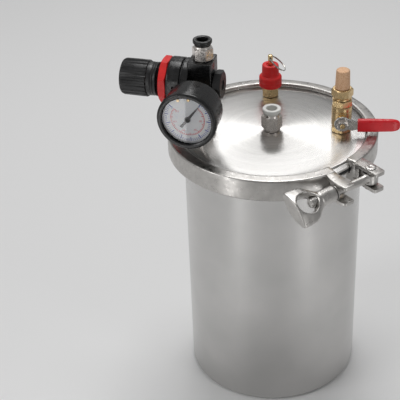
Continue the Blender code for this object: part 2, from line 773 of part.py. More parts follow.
def lever_sleeve():
    """A dipped vinyl sleeve, closed at its far end."""
    low, high = SLEEVE_Y
    middle = (low + high) / 2
    sections = []
    for x, half_h, half_t in (
        (SLEEVE_START, SLEEVE_HALF_H, (high - low) / 2),
        (SLEEVE_END - 6, SLEEVE_HALF_H - 0.4, (high - low) / 2 - 0.2),
        (SLEEVE_END - 1.6, SLEEVE_HALF_H - 1.0, (high - low) / 2 - 0.5),
        (SLEEVE_END, SLEEVE_HALF_H - 3.0, 0.9),
    ):
        outline = rounded_box((-half_h, half_h), (-half_t, half_t), half_t * 0.8)
        sections.append([(x, y - LEVER_DROP, middle + z) for y, z in outline])
    sleeve = lofted("lever_sleeve", sections, VALVE_STEM, "red_vinyl")
    room = LEVER_BLADE_HALF_H + 0.35
    bottom, top = -LEVER_DROP - room, -LEVER_DROP + room
    start, end = SLEEVE_START - 3, LEVER_END + 0.35
    pocket = extruded(
        "sleeve_pocket",
        [(start, bottom), (end, bottom), (end, top), (start, top)],
        LEVER_PLATE_NEAR - 0.35,
        LEVER_PLATE_FAR + 0.35,
        VALVE_STEM,
        "red_vinyl",
    )
    cut(sleeve, pocket)


def lever_nut():
    low, high = LEVER_PLATE_FAR + GAP, LEVER_PLATE_FAR + 3.1
    ring = [(2.2, low), (3.6, low, 6), (3.6, high - 0.4, 6), (3.3, high), (2.2, high)]
    turned("lever_nut", ring, VALVE_STEM, "nickel")


def silencer():
    seat = VALVE_END_Z + GAP
    low = VALVE_TOP_Z + 1.6
    top = SILENCER_HEX_TOP
    stations = [(2.4, low), (4.9, low), (4.9, seat), (7.0, seat, 6), (7.0, top - 0.6, 6)]
    stations += [(6.6, top), (5.0, top), (5.0, top - 3.0), (2.4, top - 3.0)]
    turned("silencer_base", stations, VALVE, "brass")
    foot = top - 2.7
    element = [(0, SILENCER_TOP), (4.4, SILENCER_TOP), (5.05, SILENCER_TOP - 0.8), (5.5, top + GAP)]
    element += [(4.6, top + GAP), (4.6, foot), (2.6, foot), (2.6, SILENCER_TOP - 2.5)]
    element += [(0, SILENCER_TOP - 2.5)]
    turned("silencer_element", element, VALVE, "sintered_bronze")


# ---------------------------------------------------------------- regulator
def regulator_body():
    left, right = -BLOCK_ENDS[1], -BLOCK_ENDS[0]
    outline = rounded_box((left, right), (-BLOCK_HALF_D, BLOCK_HALF_D), 1.0, 2)
    body = extruded(
        "regulator_body", outline, BLOCK_BOTTOM, BLOCK_TOP, REG_DOWN, "black_paint"
    )
    fuse(body, rod("body_flange", BONNET_R, 8.4, FLANGE_END, REG_AXIS, 28))
    cut(
        body,
        rod("diaphragm_room", 13.5, 10.6, FLANGE_END + 2, REG_AXIS, 24),
        rod("poppet_bore", 3.2, -4, 12, REG_AXIS, 16),
        rod("plug_port", 6.4, -12, -3, REG_AXIS),
        rod("inlet_port", PORT_HOLE_R, BLOCK_TOP - 10, BLOCK_TOP + 4, REG_DOWN),
        rod("inlet_way", 2.0, REG_Z + 1, BLOCK_TOP - 9, REG_DOWN, 16),
        rod("outlet_port", PORT_HOLE_R, BLOCK_BOTTOM - 4, BLOCK_BOTTOM + 5.9, REG_DOWN),
        rod("outlet_way", 2.0, BLOCK_BOTTOM + 5, REG_Z - 1, REG_DOWN, 16),
        rod("gauge_port", PORT_HOLE_R, 4.6, 14, GAUGE),
        rod("gauge_way", 1.3, 0.4, 5.4, GAUGE, 12),
    )


def bottom_plug():
    near = BLOCK_ENDS[0] - GAP
    stations = [(0, PLUG_END), (9.2, PLUG_END), (9.9, PLUG_END + 0.9, 6), (9.9, near, 6)]
    stations += [(6.0, near), (6.0, -4.2), (0, -4.2)]
    turned("bottom_plug", stations, REG_AXIS, "black_plastic", turn_deg=10)


def valve_poppet():
    stations = [(0, -3.6), (2.7, -3.6), (2.7, -1.4), (1.2, -0.6), (1.2, 12.2), (0, 12.2)]
    turned("valve_poppet", stations, REG_AXIS, "brass", 16)


def diaphragm():
    low, high = FLANGE_END + GAP, FLANGE_END + 1.3
    turned("diaphragm", [(0, low), (16.6, low), (16.6, high), (0, high)], REG_AXIS, "black_rubber", 24)


def regulator_bonnet():
    low = FLANGE_END + 1.3 + GAP
    stations = [(13.5, low), (BONNET_R, low)]
    stations += [(BONNET_R, BONNET_SHOULDER - 1.0), (BONNET_R - 1, BONNET_SHOULDER)]
    stations += [(BONNET_THREAD_R, BONNET_SHOULDER), (BONNET_THREAD_R, BONNET_THREAD_END)]
    stations += [(BONNET_NECK_R, BONNET_THREAD_END), (BONNET_NECK_R, BONNET_NECK_END)]
    stations += [(3.5, BONNET_NECK_END), (3.5, BONNET_NECK_END - 4), (8.9, BONNET_NECK_END - 4)]
    stations += [(8.9, BONNET_SHOULDER - 1.5), (13.5, BONNET_SHOULDER - 4)]
    bonnet = turned("regulator_bonnet", stations, REG_AXIS, "black_paint", 28)
    vent = place(on_regulator(-18.6, 0, REG_Z + 3.0), REG_RIGHT, REG_FRONT)
    cut(bonnet, rod("vent_hole", 0.9, 5, 22, vent, 12))


def panel_nut():
    half = PANEL_NUT_CORNER_R * math.cos(math.pi / 8)
    low, high = PANEL_NUT
    bore = BONNET_THREAD_R + GAP
    stations = [(bore, low), (half, low, 8), (half, high, 8), (bore, high)]
    turned("panel_nut", stations, REG_AXIS, "red_plastic", 24, 25)


def adjusting_screw():
    stations = [(0, 36.6), (3.0, 36.6), (8.3, 37.0), (8.3, 39.4), (3.1, 39.4), (3.1, 50.2)]
    stations += [(3.9, 50.2, 6), (3.9, 56.3, 6), (0, 56.3)]
    turned("adjusting_screw", stations, REG_AXIS, "cast_steel")


def adjusting_knob():
    """A cap with flutes round its outer part and a hexagonal socket inside its end."""
    near, step, end = KNOB
    bore = BONNET_NECK_R + 0.5
    stations = [(bore, near), (KNOB_COLLAR_R, near), (KNOB_COLLAR_R, step), (KNOB_R, step + 0.6, FLUTED)]
    stations += [(KNOB_R - 0.2, end - 1.8, FLUTED), (KNOB_R - 2.2, end), (0, end)]
    knob = turned("adjusting_knob", [(0, near), *stations[1:]], REG_AXIS, "black_plastic", 2 * FLUTES)
    cut(knob, rod("knob_hollow", bore, near - 2, KNOB_FLOOR, REG_AXIS, 24))
    roof, foot = KNOB_FLOOR + 0.6, 50.8
    socket = [(0, roof + 0.4), (7.2, roof + 0.4), (7.2, foot), (4.4, foot, 6), (4.4, roof, 6), (0, roof)]
    fuse(knob, turned("knob_socket", socket, REG_AXIS, "black_plastic"))


def main_spring():
    piped("main_spring", coil(4.5, 7.0, 16.2, 35.2, 10), 1.1, 5, REG_AXIS, "spring_steel")


def outlet_nipple():
    top = BLOCK_BOTTOM - GAP
    stations = [(2.4, THREAD_END), (PORT_R, THREAD_END), (PORT_R, LID_TOP + GAP), (6.8, LID_TOP + GAP, 6)]
    stations += [(6.8, LID_TOP + 7, 6), (5.6, LID_TOP + 7.4), (5.6, top - 5.4), (6.8, top - 5.0, 6)]
    stations += [(6.8, top, 6), (PORT_R, top), (PORT_R, top + 5.6), (2.4, top + 5.6)]
    turned("outlet_nipple", stations, REG_DOWN, "nickel")


# ---------------------------------------------------------------- gauge
def gauge_case():
    back = GAUGE_BACK
    stations = [(3.7, back), (17.8, back), (GAUGE_CASE_R, back + 2.6), (GAUGE_CASE_R, GAUGE_CASE_END)]
    stations += [(GAUGE_CASE_R - 1.5, GAUGE_CASE_END), (GAUGE_CASE_R - 1.5, back + 3.2), (17.0, back + 1.6)]
    stations += [(3.7, back + 1.6)]
    turned("gauge_case", stations, GAUGE, "black_paint", 28)


def gauge_bezel():
    low = GAUGE_CASE_END + GAP
    lip = GAUGE_FRONT - 1.5
    stations = [(19.4, low), (GAUGE_BEZEL_R, low), (GAUGE_BEZEL_R, GAUGE_FRONT - 1.6)]
    stations += [(GAUGE_BEZEL_R - 1.2, GAUGE_FRONT), (GAUGE_OPENING_R + 0.9, GAUGE_FRONT)]
    stations += [(GAUGE_OPENING_R, lip), (19.4, lip)]
    turned("gauge_bezel", stations, GAUGE, "black_paint", 32)


def gauge_lens():
    high = GAUGE_FRONT - 1.5 - GAP
    low = high - 1.0
    turned("gauge_lens", [(0, low), (19.0, low), (19.0, high), (0, high)], GAUGE, "clear_lens", 28)


def gauge_dial():
    low = GAUGE_DIAL_AT
    stations = [(1.2, low), (18.9, low), (18.9, low + 0.7), (1.2, low + 0.7)]
    dial = turned("gauge_dial", stations, GAUGE, "dial_face", 28)
    for k, (x, y) in enumerate(DIAL_SCREWS):
        spot = place(GAUGE @ Vector((x * MM, y * MM, 0)) / MM, REG_RIGHT, REG_FRONT)
        cut(dial, rod(f"dial_hole_{k + 1}", 0.95, low - 2, low + 2, spot, 12))
        low_end, head = low - 1.6, low + 0.7 + GAP
        stations = [(0, low_end), (0.6, low_end), (0.6, head), (1.25, head)]
        stations += [(1.1, head + 0.5), (0, head + 0.5)]
        turned(f"dial_screw_{k + 1}", stations, spot, "brass", 12)


def gauge_pointer():
    low = GAUGE_DIAL_AT + 0.7 + GAP
    hub = turned(
        "gauge_pointer",
        [
            (0, low - 2.4), (0.8, low - 2.4), (0.8, low),
            (2.2, low), (2.2, low + 0.9), (1.4, low + 1.2), (0, low + 1.2),
        ],
        GAUGE,
        "black_plastic",
        16,
    )
    outline = [(-8.0, -1.1), (-8.0, 1.1), (-2.0, 0.8), (2.0, 1.0)]
    outline += [(13.2, 0.25), (13.2, -0.25), (2.0, -1.0), (-2.0, -0.8)]
    needle = extruded("needle", outline, low + 0.1, low + 0.6, GAUGE, "black_plastic")
    needle.matrix_world = GAUGE @ Matrix.Rotation(math.radians(POINTER_DEG), 4, "Z")
    fuse(hub, needle)


def bourdon_tube():
    path = [(x, y, 33.0) for x, y in arc((0, 0), 12.0, -90, 165, 14)]
    piped("bourdon_tube", path, 1.6, 6, GAUGE, "brass")


def gauge_socket():
    face = BLOCK_HALF_D + GAP
    stations = [(1.2, 5.2), (PORT_R, 5.2), (PORT_R, face), (6.8, face, 6), (6.8, GAUGE_BACK - GAP, 6)]
    stations += [(3.3, GAUGE_BACK - GAP), (3.3, 29.5), (1.2, 29.5)]
    turned("gauge_socket", stations, GAUGE, "brass")


# ---------------------------------------------------------------- build
def clear_scene():
    for thing in list(bpy.data.objects):
        bpy.data.objects.remove(thing, do_unlink=True)


def main():
    clear_scene()
    pot_shell()
    gasket()
    lid_plate()
    clamp_half_left()
    clamp_half_right()
    headed_pin("clamp_hinge_pin", REAR_PIN, RING_HALF_H - 0.4)
    headed_pin("swing_bolt_pin", BOLT_PIN, EAR_OUTER)
    swing_bolt()
    thrust_washer()
    wing_nut()
    outlet_fitting()
    relief_valve()
    relief_ring()
    valve_body()
    valve_end_piece()
    valve_seats()
    valve_ball()
    valve_stem()
    valve_lever()
    lever_sleeve()
    lever_nut()
    silencer()
    regulator_body()
    bottom_plug()
    valve_poppet()
    diaphragm()
    regulator_bonnet()
    panel_nut()
    adjusting_screw()
    adjusting_knob()
    main_spring()
    outlet_nipple()
    inlet_fitting()
    gauge_case()
    gauge_bezel()
    gauge_lens()
    gauge_dial()
    gauge_pointer()
    bourdon_tube()
    gauge_socket()


main()
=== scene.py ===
"""The looks of the pressure pot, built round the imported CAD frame.

Sizes are in millimetres, in the CAD's frame, and meshes are scaled to metres as they are made.
"""

import json
import math

import bmesh
import bpy
from mathutils import Matrix, Vector


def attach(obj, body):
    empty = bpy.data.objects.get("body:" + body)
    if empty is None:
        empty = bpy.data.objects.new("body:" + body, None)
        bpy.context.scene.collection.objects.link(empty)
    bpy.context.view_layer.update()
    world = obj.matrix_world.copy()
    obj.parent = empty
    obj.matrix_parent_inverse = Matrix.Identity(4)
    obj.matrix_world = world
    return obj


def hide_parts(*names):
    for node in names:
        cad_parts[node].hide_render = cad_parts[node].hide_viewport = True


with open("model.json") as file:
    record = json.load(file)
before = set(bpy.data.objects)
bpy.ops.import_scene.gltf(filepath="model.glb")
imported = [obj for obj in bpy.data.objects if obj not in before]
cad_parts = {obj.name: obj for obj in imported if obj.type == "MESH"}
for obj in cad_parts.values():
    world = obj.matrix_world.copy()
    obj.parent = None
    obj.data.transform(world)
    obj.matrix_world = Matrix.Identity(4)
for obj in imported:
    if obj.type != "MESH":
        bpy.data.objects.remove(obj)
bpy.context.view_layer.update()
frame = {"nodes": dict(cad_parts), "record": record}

MM = 0.001
GAP = 0.3
ROUND = 192

# ---------------------------------------------------------------- sizes, as in the CAD
POT_R, POT_WALL, POT_BASE, POT_CORNER = 66.5, 2.0, 2.2, 3.0
JOINT_Z = 202.6
FLANGE_R, FLANGE_RIM, FLANGE_SLOPE = 72.5, 1.5, math.tan(math.radians(20))
GASKET_T = 1.8
LID_TOP, LID_BOSS_R, LID_UNDER, LID_SPIGOT_R = 208.2, 69.2, 201.0, 63.6
THREAD_END = JOINT_Z - 4.6
CLOSURE_DEG = -51.3
RING_LIP_R, RING_GROOVE_R, RING_R, RING_HALF_H = 69.9, 73.3, 78.3, 8.4
LEFT_LUG_V, RIGHT_LUG_V, RIGHT_LUG_W = -6.2, 12.8, 9.4
LUG_OUTER, LUG_WEB, EAR_INNER, EAR_OUTER = 98.3, 80.5, 5.0, 7.8
REAR_PIN_U, KNUCKLE_R, KNUCKLE_SPLIT = -85.0, 6.0, 3.6
PIN_R, PIN_HOLE_R, PIN_HEAD_R = 3.0, 3.3, 3.9
BOLT_PIN_U, BOLT_PIN_V, LUG_FACE = 88.5, 17.0, 33.2
BOLT_SHANK_R, BOLT_THREAD_R, BOLT_END = 3.1, 3.8, 55.5
NUT_BORE_R, NUT_BARREL_R, NUT_LENGTH, WASHER_T = 4.2, 6.0, 36.6, 1.2
NUT_START = LUG_FACE + GAP
WING_SPAN, WING_TURN_DEG, WINDOW_AT, WINDOW_R = 14.5, 57.0, 59.4, 9.2
OUTLET_X, TUBE_R, PORT_R, PORT_HOLE_R = -0.8, 4.05, 4.6, 5.0
HEX_HALF, COLLAR_R, COLLAR_SLEEVE_R, COLLAR_BORE_R = 6.75, 6.95, 5.4, 5.7
RELIEF_AT = (-1.9, 56.0)
RELIEF_CAP_Z, RELIEF_SHOULDER_Z, RELIEF_TOP_Z, RELIEF_STEM_TOP = 216.4, 225.5, 234.6, 242.4
RELIEF_RING_Z, RELIEF_RING_R, RELIEF_RING_DROP_DEG = 239.8, 7.5, 40.0
VALVE_X, VALVE_STEM_Z, VALVE_BODY_R, VALVE_TOP_Z, VALVE_END_Z = 50.7, 219.2, 7.5, 229.0, 234.2
VALVE_THREAD_R, SILENCER_HEX_TOP, SILENCER_TOP = 6.0, 243.0, 257.6
LEVER_PLATE = (10.8, 12.4)
LEVER_END, LEVER_DROP, LEVER_BLADE_HALF_H = 39.6, 0.95, 3.3
SLEEVE_START, SLEEVE_END, SLEEVE_HALF_H, SLEEVE_Y = 11.2, 42.4, 5.15, (9.3, 14.2)
REG_AT, REG_YAW_DEG, REG_Z = (-50.0, 0.0), -12.0, 246.4
BLOCK_BOTTOM, BLOCK_TOP, BLOCK_HALF_D, BLOCK_ENDS = 229.8, 266.0, 10.0, (-8.0, 9.6)
BONNET_R, FLANGE_END, BONNET_SHOULDER = 17.9, 13.0, 24.4
BONNET_THREAD_R, BONNET_THREAD_END, BONNET_NECK_R, BONNET_NECK_END = 13.0, 33.0, 10.2, 47.5
PANEL_NUT, PANEL_NUT_CORNER_R = (24.7, 30.3), 17.8
KNOB_R, KNOB_COLLAR_R, KNOB, KNOB_FLOOR = 13.5, 12.4, (33.5, 40.5, 61.0), 57.0
FLUTES, FLUTE_DEPTH, PLUG_END = 20, 0.7, -14.2
GAUGE_Z, GAUGE_BACK, GAUGE_CASE_END, GAUGE_FRONT = 240.9, 23.5, 43.6, 49.6
GAUGE_CASE_R, GAUGE_BEZEL_R, GAUGE_OPENING_R, GAUGE_DIAL_AT = 20.6, 21.5, 17.7, 44.6
POINTER_DEG = 52.0
DIAL_SCREWS = ((-6.3, 14.3), (1.2, 15.4))


# ---------------------------------------------------------------- places
def place(origin, x_axis=(1, 0, 0), z_axis=(0, 0, 1)):
    z = Vector(z_axis).normalized()
    x = Vector(x_axis).normalized()
    turn = Matrix((x, z.cross(x), z)).transposed().to_4x4()
    return Matrix.Translation(Vector(origin) * MM) @ turn


def direction(degrees):
    return Vector((math.cos(math.radians(degrees)), math.sin(math.radians(degrees)), 0))


OUTWARD = direction(CLOSURE_DEG)
ALONG = direction(CLOSURE_DEG + 90)
REG_RIGHT = direction(REG_YAW_DEG)
REG_FRONT = direction(REG_YAW_DEG - 90)
UP = Vector((0, 0, 1))


def on_closure(u, v, height=0.0):
    return OUTWARD * u + ALONG * v + UP * (JOINT_Z + height)


def on_regulator(right, front, z):
    return Vector((*REG_AT, z)) + REG_RIGHT * right + REG_FRONT * front


WORLD = place((0, 0, 0))
OUTLET = place((OUTLET_X, 0, 0))
CLOSURE = place((0, 0, JOINT_Z), OUTWARD)
REAR_PIN = place(on_closure(REAR_PIN_U, 0), OUTWARD)
BOLT_PIN = place(on_closure(BOLT_PIN_U, BOLT_PIN_V), OUTWARD)
BOLT_AXIS = place(on_closure(BOLT_PIN_U, BOLT_PIN_V), OUTWARD, -ALONG)
RELIEF = place((*RELIEF_AT, 0))
VALVE = place((VALVE_X, 0, 0))
VALVE_STEM = place((VALVE_X, 0, VALVE_STEM_Z), (1, 0, 0), (0, -1, 0))
REG_DOWN = place(on_regulator(0, 0, 0), REG_RIGHT)
REG_AXIS = place(on_regulator(0, 0, REG_Z), REG_FRONT, -REG_RIGHT)
GAUGE = place(on_regulator(0, 0, GAUGE_Z), REG_RIGHT, REG_FRONT)


# ---------------------------------------------------------------- materials
class Nodes:
    """Short ways to add and join the nodes of one material."""

    def __init__(self, name):
        self.material = bpy.data.materials.new(name)
        self.material.use_nodes = True
        self.tree = self.material.node_tree
        self.shader = self.tree.nodes["Principled BSDF"]
        self.output = self.tree.nodes["Material Output"]
        self.coords = self.add("ShaderNodeTexCoord").outputs["Object"]

    def add(self, kind, **values):
        node = self.tree.nodes.new(kind)
        for key, value in values.items():
            setattr(node, key, value)
        return node

    def join(self, output, socket):
        self.tree.links.new(output, socket)

    def noise(self, scale, detail=3.0, rough=0.5, vector=None):
        node = self.add("ShaderNodeTexNoise")
        node.inputs["Scale"].default_value = scale
        node.inputs["Detail"].default_value = detail
        node.inputs["Roughness"].default_value = rough
        self.join(vector or self.coords, node.inputs["Vector"])
        return node.outputs["Fac"]

    def stretched(self, scale):
        node = self.add("ShaderNodeMapping")
        node.inputs["Scale"].default_value = scale
        self.join(self.coords, node.inputs["Vector"])
        return node.outputs["Vector"]

    def math(self, operation, a, b=None):
        node = self.add("ShaderNodeMath", operation=operation)
        for socket, value in zip(node.inputs, (a, b)):
            if value is None:
                continue
            if isinstance(value, (int, float)):
                socket.default_value = value
            else:
                self.join(value, socket)
        return node.outputs[0]

    def spread(self, value, low, high, start=0.3, end=0.7):
        node = self.add("ShaderNodeMapRange")
        for key, number in (("From Min", start), ("From Max", end), ("To Min", low), ("To Max", high)):
            node.inputs[key].default_value = number
        self.join(value, node.inputs["Value"])
        return node.outputs["Result"]

    def blend(self, factor, first, second):
        node = self.add("ShaderNodeMix", data_type="RGBA")
        self.join(factor, node.inputs[0])
        for socket, colour in ((node.inputs[6], first), (node.inputs[7], second)):
            if isinstance(colour, tuple):
                socket.default_value = (*colour, 1.0)
            else:
                self.join(colour, socket)
        return node.outputs[2]

    def bump(self, height, strength, distance=0.0001, below=None):
        node = self.add("ShaderNodeBump")
        node.inputs["Strength"].default_value = strength
        node.inputs["Distance"].default_value = distance
        self.join(height, node.inputs["Height"])
        if below:
            self.join(below, node.inputs["Normal"])
        return node.outputs["Normal"]

    def radius(self):
        """Distance from the local Z axis, in metres."""
        flat = self.add("ShaderNodeVectorMath", operation="MULTIPLY")
        flat.inputs[1].default_value = (1, 1, 0)
        self.join(self.coords, flat.inputs[0])
        length = self.add("ShaderNodeVectorMath", operation="LENGTH")
        self.join(flat.outputs[0], length.inputs[0])
        return length.outputs["Value"]

    def along(self, value):
        """A vector with that value in X, for a texture that varies along one line."""
        node = self.add("ShaderNodeCombineXYZ")
        self.join(value, node.inputs[0])
        return node.outputs[0]

    def set(self, **values):
        for key, value in values.items():
            socket = self.shader.inputs[key.replace("_", " ")]
            if isinstance(value, bpy.types.NodeSocket):
                self.join(value, socket)
            elif isinstance(value, tuple):
                socket.default_value = (*value, 1.0)
            else:
                socket.default_value = value


def shade(colour, amount):
    return tuple(min(1.0, c * amount) for c in colour)


def plain(name, colour, rough, metallic=0.0, vary=0.1, spots=90.0, grain=1200.0, depth=0.15, **more):
    """A surface with uneven colour and gloss and a fine grain; the usual finish of most pieces."""
    nodes = Nodes(name)
    cloud = nodes.noise(spots, 4.0, 0.6)
    nodes.set(
        Base_Color=nodes.blend(nodes.spread(cloud, 0.0, 1.0), shade(colour, 0.88), shade(colour, 1.1)),
        Roughness=nodes.spread(nodes.noise(spots * 2.3, 4.0), rough * (1 - vary * 2),
            rough * (1 + vary * 2)),
        Metallic=metallic,
        Normal=nodes.bump(nodes.noise(grain, 2.0), depth),
        **more,
    )
    return nodes.material


def pot_steel():
    """Tube polished round its axis: fine level lines and a few faint rubs."""
    nodes = Nodes("pot_steel")
    place_z = nodes.add("ShaderNodeSeparateXYZ")
    nodes.join(nodes.coords, place_z.inputs[0])
    lines = nodes.noise(2600.0, 4.0, 0.7, nodes.along(place_z.outputs[2]))
    rubs = nodes.noise(1.0, 4.0, 0.65, nodes.stretched((14.0, 14.0, 900.0)))
    cloud = nodes.noise(22.0, 3.0)
    tangent = nodes.add("ShaderNodeTangent", direction_type="RADIAL", axis="Z")
    nodes.set(
        Base_Color=nodes.blend(nodes.spread(cloud, 0.0, 1.0), (0.52, 0.515, 0.505), (0.6, 0.59, 0.58)),
        Roughness=nodes.spread(rubs, 0.16, 0.27),
        Metallic=1.0,
        Anisotropic=0.55,
        Tangent=tangent.outputs[0],
        Normal=nodes.bump(rubs, 0.08, 0.0001, nodes.bump(lines, 0.1, 0.00008)),
    )
    return nodes.material


def lid_steel():
    """Plate turned on a lathe: rings round the axis that spread the light into two fans."""
    nodes = Nodes("lid_steel")
    distance = nodes.radius()
    rings = nodes.noise(2400.0, 4.0, 0.75, nodes.along(distance))
    wide = nodes.noise(170.0, 2.0, 0.5, nodes.along(distance))
    tangent = nodes.add("ShaderNodeTangent", direction_type="RADIAL", axis="Z")
    nodes.set(
        Base_Color=nodes.blend(nodes.spread(wide, 0.0, 1.0), (0.62, 0.61, 0.595), (0.7, 0.69, 0.675)),
        Roughness=nodes.spread(rings, 0.24, 0.32),
        Metallic=1.0,
        Anisotropic=0.92,
        Tangent=tangent.outputs[0],
        Normal=nodes.bump(rings, 0.05, 0.00006),
    )
    return nodes.material


def bronze():
    """Sintered grains: small rounded cells, matte, with painted shade in the pits: the colour darkens
    towards each cell's edge, where the bump sinks.
    """
    nodes = Nodes("sintered_bronze")
    cells = nodes.add("ShaderNodeTexVoronoi")
    cells.inputs["Scale"].default_value = 1500.0
    nodes.join(nodes.coords, cells.inputs["Vector"])
    height = nodes.math("SUBTRACT", 1.0, cells.outputs["Distance"])
    # painted shade: the base colour turns darker where the cells' bump height is low, in the pits between
    # grains
    nodes.set(
        Base_Color=nodes.blend(
            nodes.spread(cells.outputs["Distance"], 0.0, 1.0, 0.1, 0.75), (0.88, 0.62, 0.42),
                (0.62, 0.36, 0.2)
        ),
        Roughness=0.62,
        Metallic=0.35,
        Normal=nodes.bump(height, 0.55, 0.0003),
    )
    return nodes.material


def glass():
    """A clear flat window: it lets light through and keeps a gloss at low angles."""
    nodes = Nodes("clear_lens")
    clear = nodes.add("ShaderNodeBsdfTransparent")
    gloss = nodes.add("ShaderNodeBsdfGlossy")
    gloss.inputs["Roughness"].default_value = 0.03
    nodes.join(nodes.bump(nodes.noise(60.0, 2.0), 0.03), gloss.inputs["Normal"])
    edge = nodes.add("ShaderNodeFresnel")
    edge.inputs["IOR"].default_value = 1.45
    mix = nodes.add("ShaderNodeMixShader")
    nodes.join(edge.outputs[0], mix.inputs[0])
    nodes.join(clear.outputs[0], mix.inputs[1])
    nodes.join(gloss.outputs[0], mix.inputs[2])
    nodes.join(mix.outputs[0], nodes.output.inputs["Surface"])
    nodes.tree.nodes.remove(nodes.shader)
    return nodes.material


MATERIALS = {
    "pot_steel": pot_steel(),
    "lid_steel": lid_steel(),
    "clamp_steel": plain("clamp_steel", (0.5, 0.485, 0.465), 0.33, 1.0, 0.15, 130, 420, 0.07),
    "lever_steel": plain("lever_steel", (0.66, 0.65, 0.63), 0.24, 1.0, 0.2, 160, 900, 0.2),
    "nickel_plate": plain("nickel_plate", (0.76, 0.715, 0.68), 0.28, 1.0, 0.2, 200, 1500, 0.05),
    "brass": plain("brass", (0.76, 0.56, 0.3), 0.3, 1.0, 0.2, 260, 1300, 0.03),
    "sintered_bronze": bronze(),
    "red_plastic": plain("red_plastic", (0.7, 0.006, 0.006), 0.5, 0.0, 0.15, 220, 2200, 0.08,
        Coat_Weight=0.04),
    "red_vinyl": plain("red_vinyl", (0.66, 0.006, 0.014), 0.38, 0.0, 0.2, 120, 700, 0.12,
        Coat_Weight=0.2),
    "black_plastic": plain("black_plastic", (0.009, 0.009, 0.0095), 0.36, 0.0, 0.15, 200, 3000, 0.07),
    "black_paint": plain("black_paint", (0.006, 0.006, 0.0065), 0.26, 0.0, 0.2, 150, 1600, 0.05),
    "white_plastic": plain("white_plastic", (0.74, 0.74, 0.71), 0.38, 0.0, 0.15, 200, 2500, 0.1),
    "black_rubber": plain("black_rubber", (0.02, 0.02, 0.022), 0.68, 0.0, 0.1, 150, 2500, 0.3),
    "spring_steel": plain("spring_steel", (0.5, 0.485, 0.45), 0.24, 1.0, 0.2, 300, 2000, 0.1),
    "dial_face": plain("dial_face", (0.93, 0.95, 1.0), 0.6, 0.0, 0.1, 60, 2500, 0.05),
    "clear_lens": glass(),
    "ptfe": plain("ptfe", (0.82, 0.82, 0.81), 0.55, 0.0, 0.1, 120, 1500, 0.1),
    "dial_blue": plain("dial_blue", (0.015, 0.06, 0.4), 0.55, 0.0, 0.1, 60, 2500, 0.05),
    "dial_red": plain("dial_red", (0.7, 0.02, 0.05), 0.55, 0.0, 0.1, 60, 2500, 0.05),
}


# ---------------------------------------------------------------- mesh helpers
def make(name, mesh_data, at, sharp=32.0):
    bmesh.ops.recalc_face_normals(mesh_data, faces=mesh_data.faces)
    bmesh.ops.scale(mesh_data, vec=(MM, MM, MM), verts=mesh_data.verts)
    mesh = bpy.data.meshes.new(name)
    mesh_data.to_mesh(mesh)
    mesh_data.free()
    mesh.shade_smooth()
    mesh.set_sharp_from_angle(angle=math.radians(sharp))
    thing = bpy.data.objects.new(name, mesh)
    bpy.context.scene.collection.objects.link(thing)
    thing.matrix_world = at
    return thing


def bake(thing, sharp=32.0):
    """Puts the modifiers' result into the mesh."""
    bpy.context.view_layer.update()
    graph = bpy.context.evaluated_depsgraph_get()
    mesh = bpy.data.meshes.new_from_object(thing.evaluated_get(graph))
    thing.modifiers.clear()
    thing.data = mesh
    mesh.shade_smooth()
    mesh.set_sharp_from_angle(angle=math.radians(sharp))
    return thing


def boolean(thing, others, operation="DIFFERENCE"):
    for other in others:
        step = thing.modifiers.new("shape", "BOOLEAN")
        step.operation = operation
        step.object = other
        step.solver = "EXACT"
    bake(thing)
    for other in others:
        bpy.data.objects.remove(other)
    return thing


def soften(thing, width, segments=3, angle=30.0):
    """Rounds the edges with a bevel."""
    step = thing.modifiers.new("soft_edges", "BEVEL")
    step.width = width * MM
    step.segments = segments
    step.limit_method = "ANGLE"
    step.angle_limit = math.radians(angle)
    step.use_clamp_overlap = True
    step.harden_normals = False
    return thing


def shown(thing, body, slot, *nodes, look=None):
    """Gives the piece its finish, its body and the CAD nodes that it stands for."""
    thing.data.materials.clear()
    thing.data.materials.append(MATERIALS[look or slot])
    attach(thing, body)
    if nodes:
        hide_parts(*nodes)
    return thing


def merged(name, things):
    """One object from several, in the first one's place."""
    first = things[0]
    for other in things[1:]:
        data = bmesh.new()
        data.from_mesh(first.data)
        bpy.context.view_layer.update()
        shifted = other.data.copy()
        shifted.transform(first.matrix_world.inverted() @ other.matrix_world)
        data.from_mesh(shifted)
        data.to_mesh(first.data)
        data.free()
        bpy.data.objects.remove(other)
    first.name = name
    first.data.name = name
    return first


def flat_sided(size, sides, angle):
    step = math.tau / sides
    return size / math.cos(angle % step - step / 2)


def turned(name, stations, at, segments=96, turn_deg=0.0, sharp=32.0):
    """A closed body lofted through (size, z[, sides[, limit]]) about local Z, as in the CAD.

    The limit is the radius of a cone or cylinder that trims the corners of a flat-sided station.
    """
    mesh_data = bmesh.new()
    rings = []
    for size, z, *shape in stations:
        if size == 0:
            continue
        ring = []
        for k in range(segments):
            angle = math.tau * k / segments
            radius = size
            if shape and callable(shape[0]):
                radius = shape[0](size, angle)
            elif shape:
                radius = flat_sided(size, shape[0], angle)
                if len(shape) > 1:
                    radius = min(radius, shape[1])
            heading = angle + math.radians(turn_deg)
            ring.append(mesh_data.verts.new((radius * math.cos(heading), radius * math.sin(heading), z)))
        rings.append(ring)
    if len(rings) < len(stations):
        mesh_data.faces.new(rings[0])
        mesh_data.faces.new(rings[-1])
    else:
        rings.append(rings[0])
    for low, high in zip(rings, rings[1:]):
        for k in range(segments):
            n = (k + 1) % segments
            mesh_data.faces.new((low[k], low[n], high[n], high[k]))
    return make(name, mesh_data, at, sharp)


def hexagon(half, low, high, chamfer=0.9, both=True, sides=6):
    """Stations of a flat-sided nut whose corners are trimmed by a cone at its ends."""
    corner = half / math.cos(math.pi / sides)
    steps = 4
    bottom = [
        (half, low + chamfer * k / steps, sides, half * 0.985 + (corner - half * 0.985) * k / steps)
        for k in range(steps + 1)
    ]
    top = [(s, high - (z - low), n, limit) for s, z, n, limit in reversed(bottom)]
    if not both:
        bottom = [(half, low, sides)]
    return bottom + top


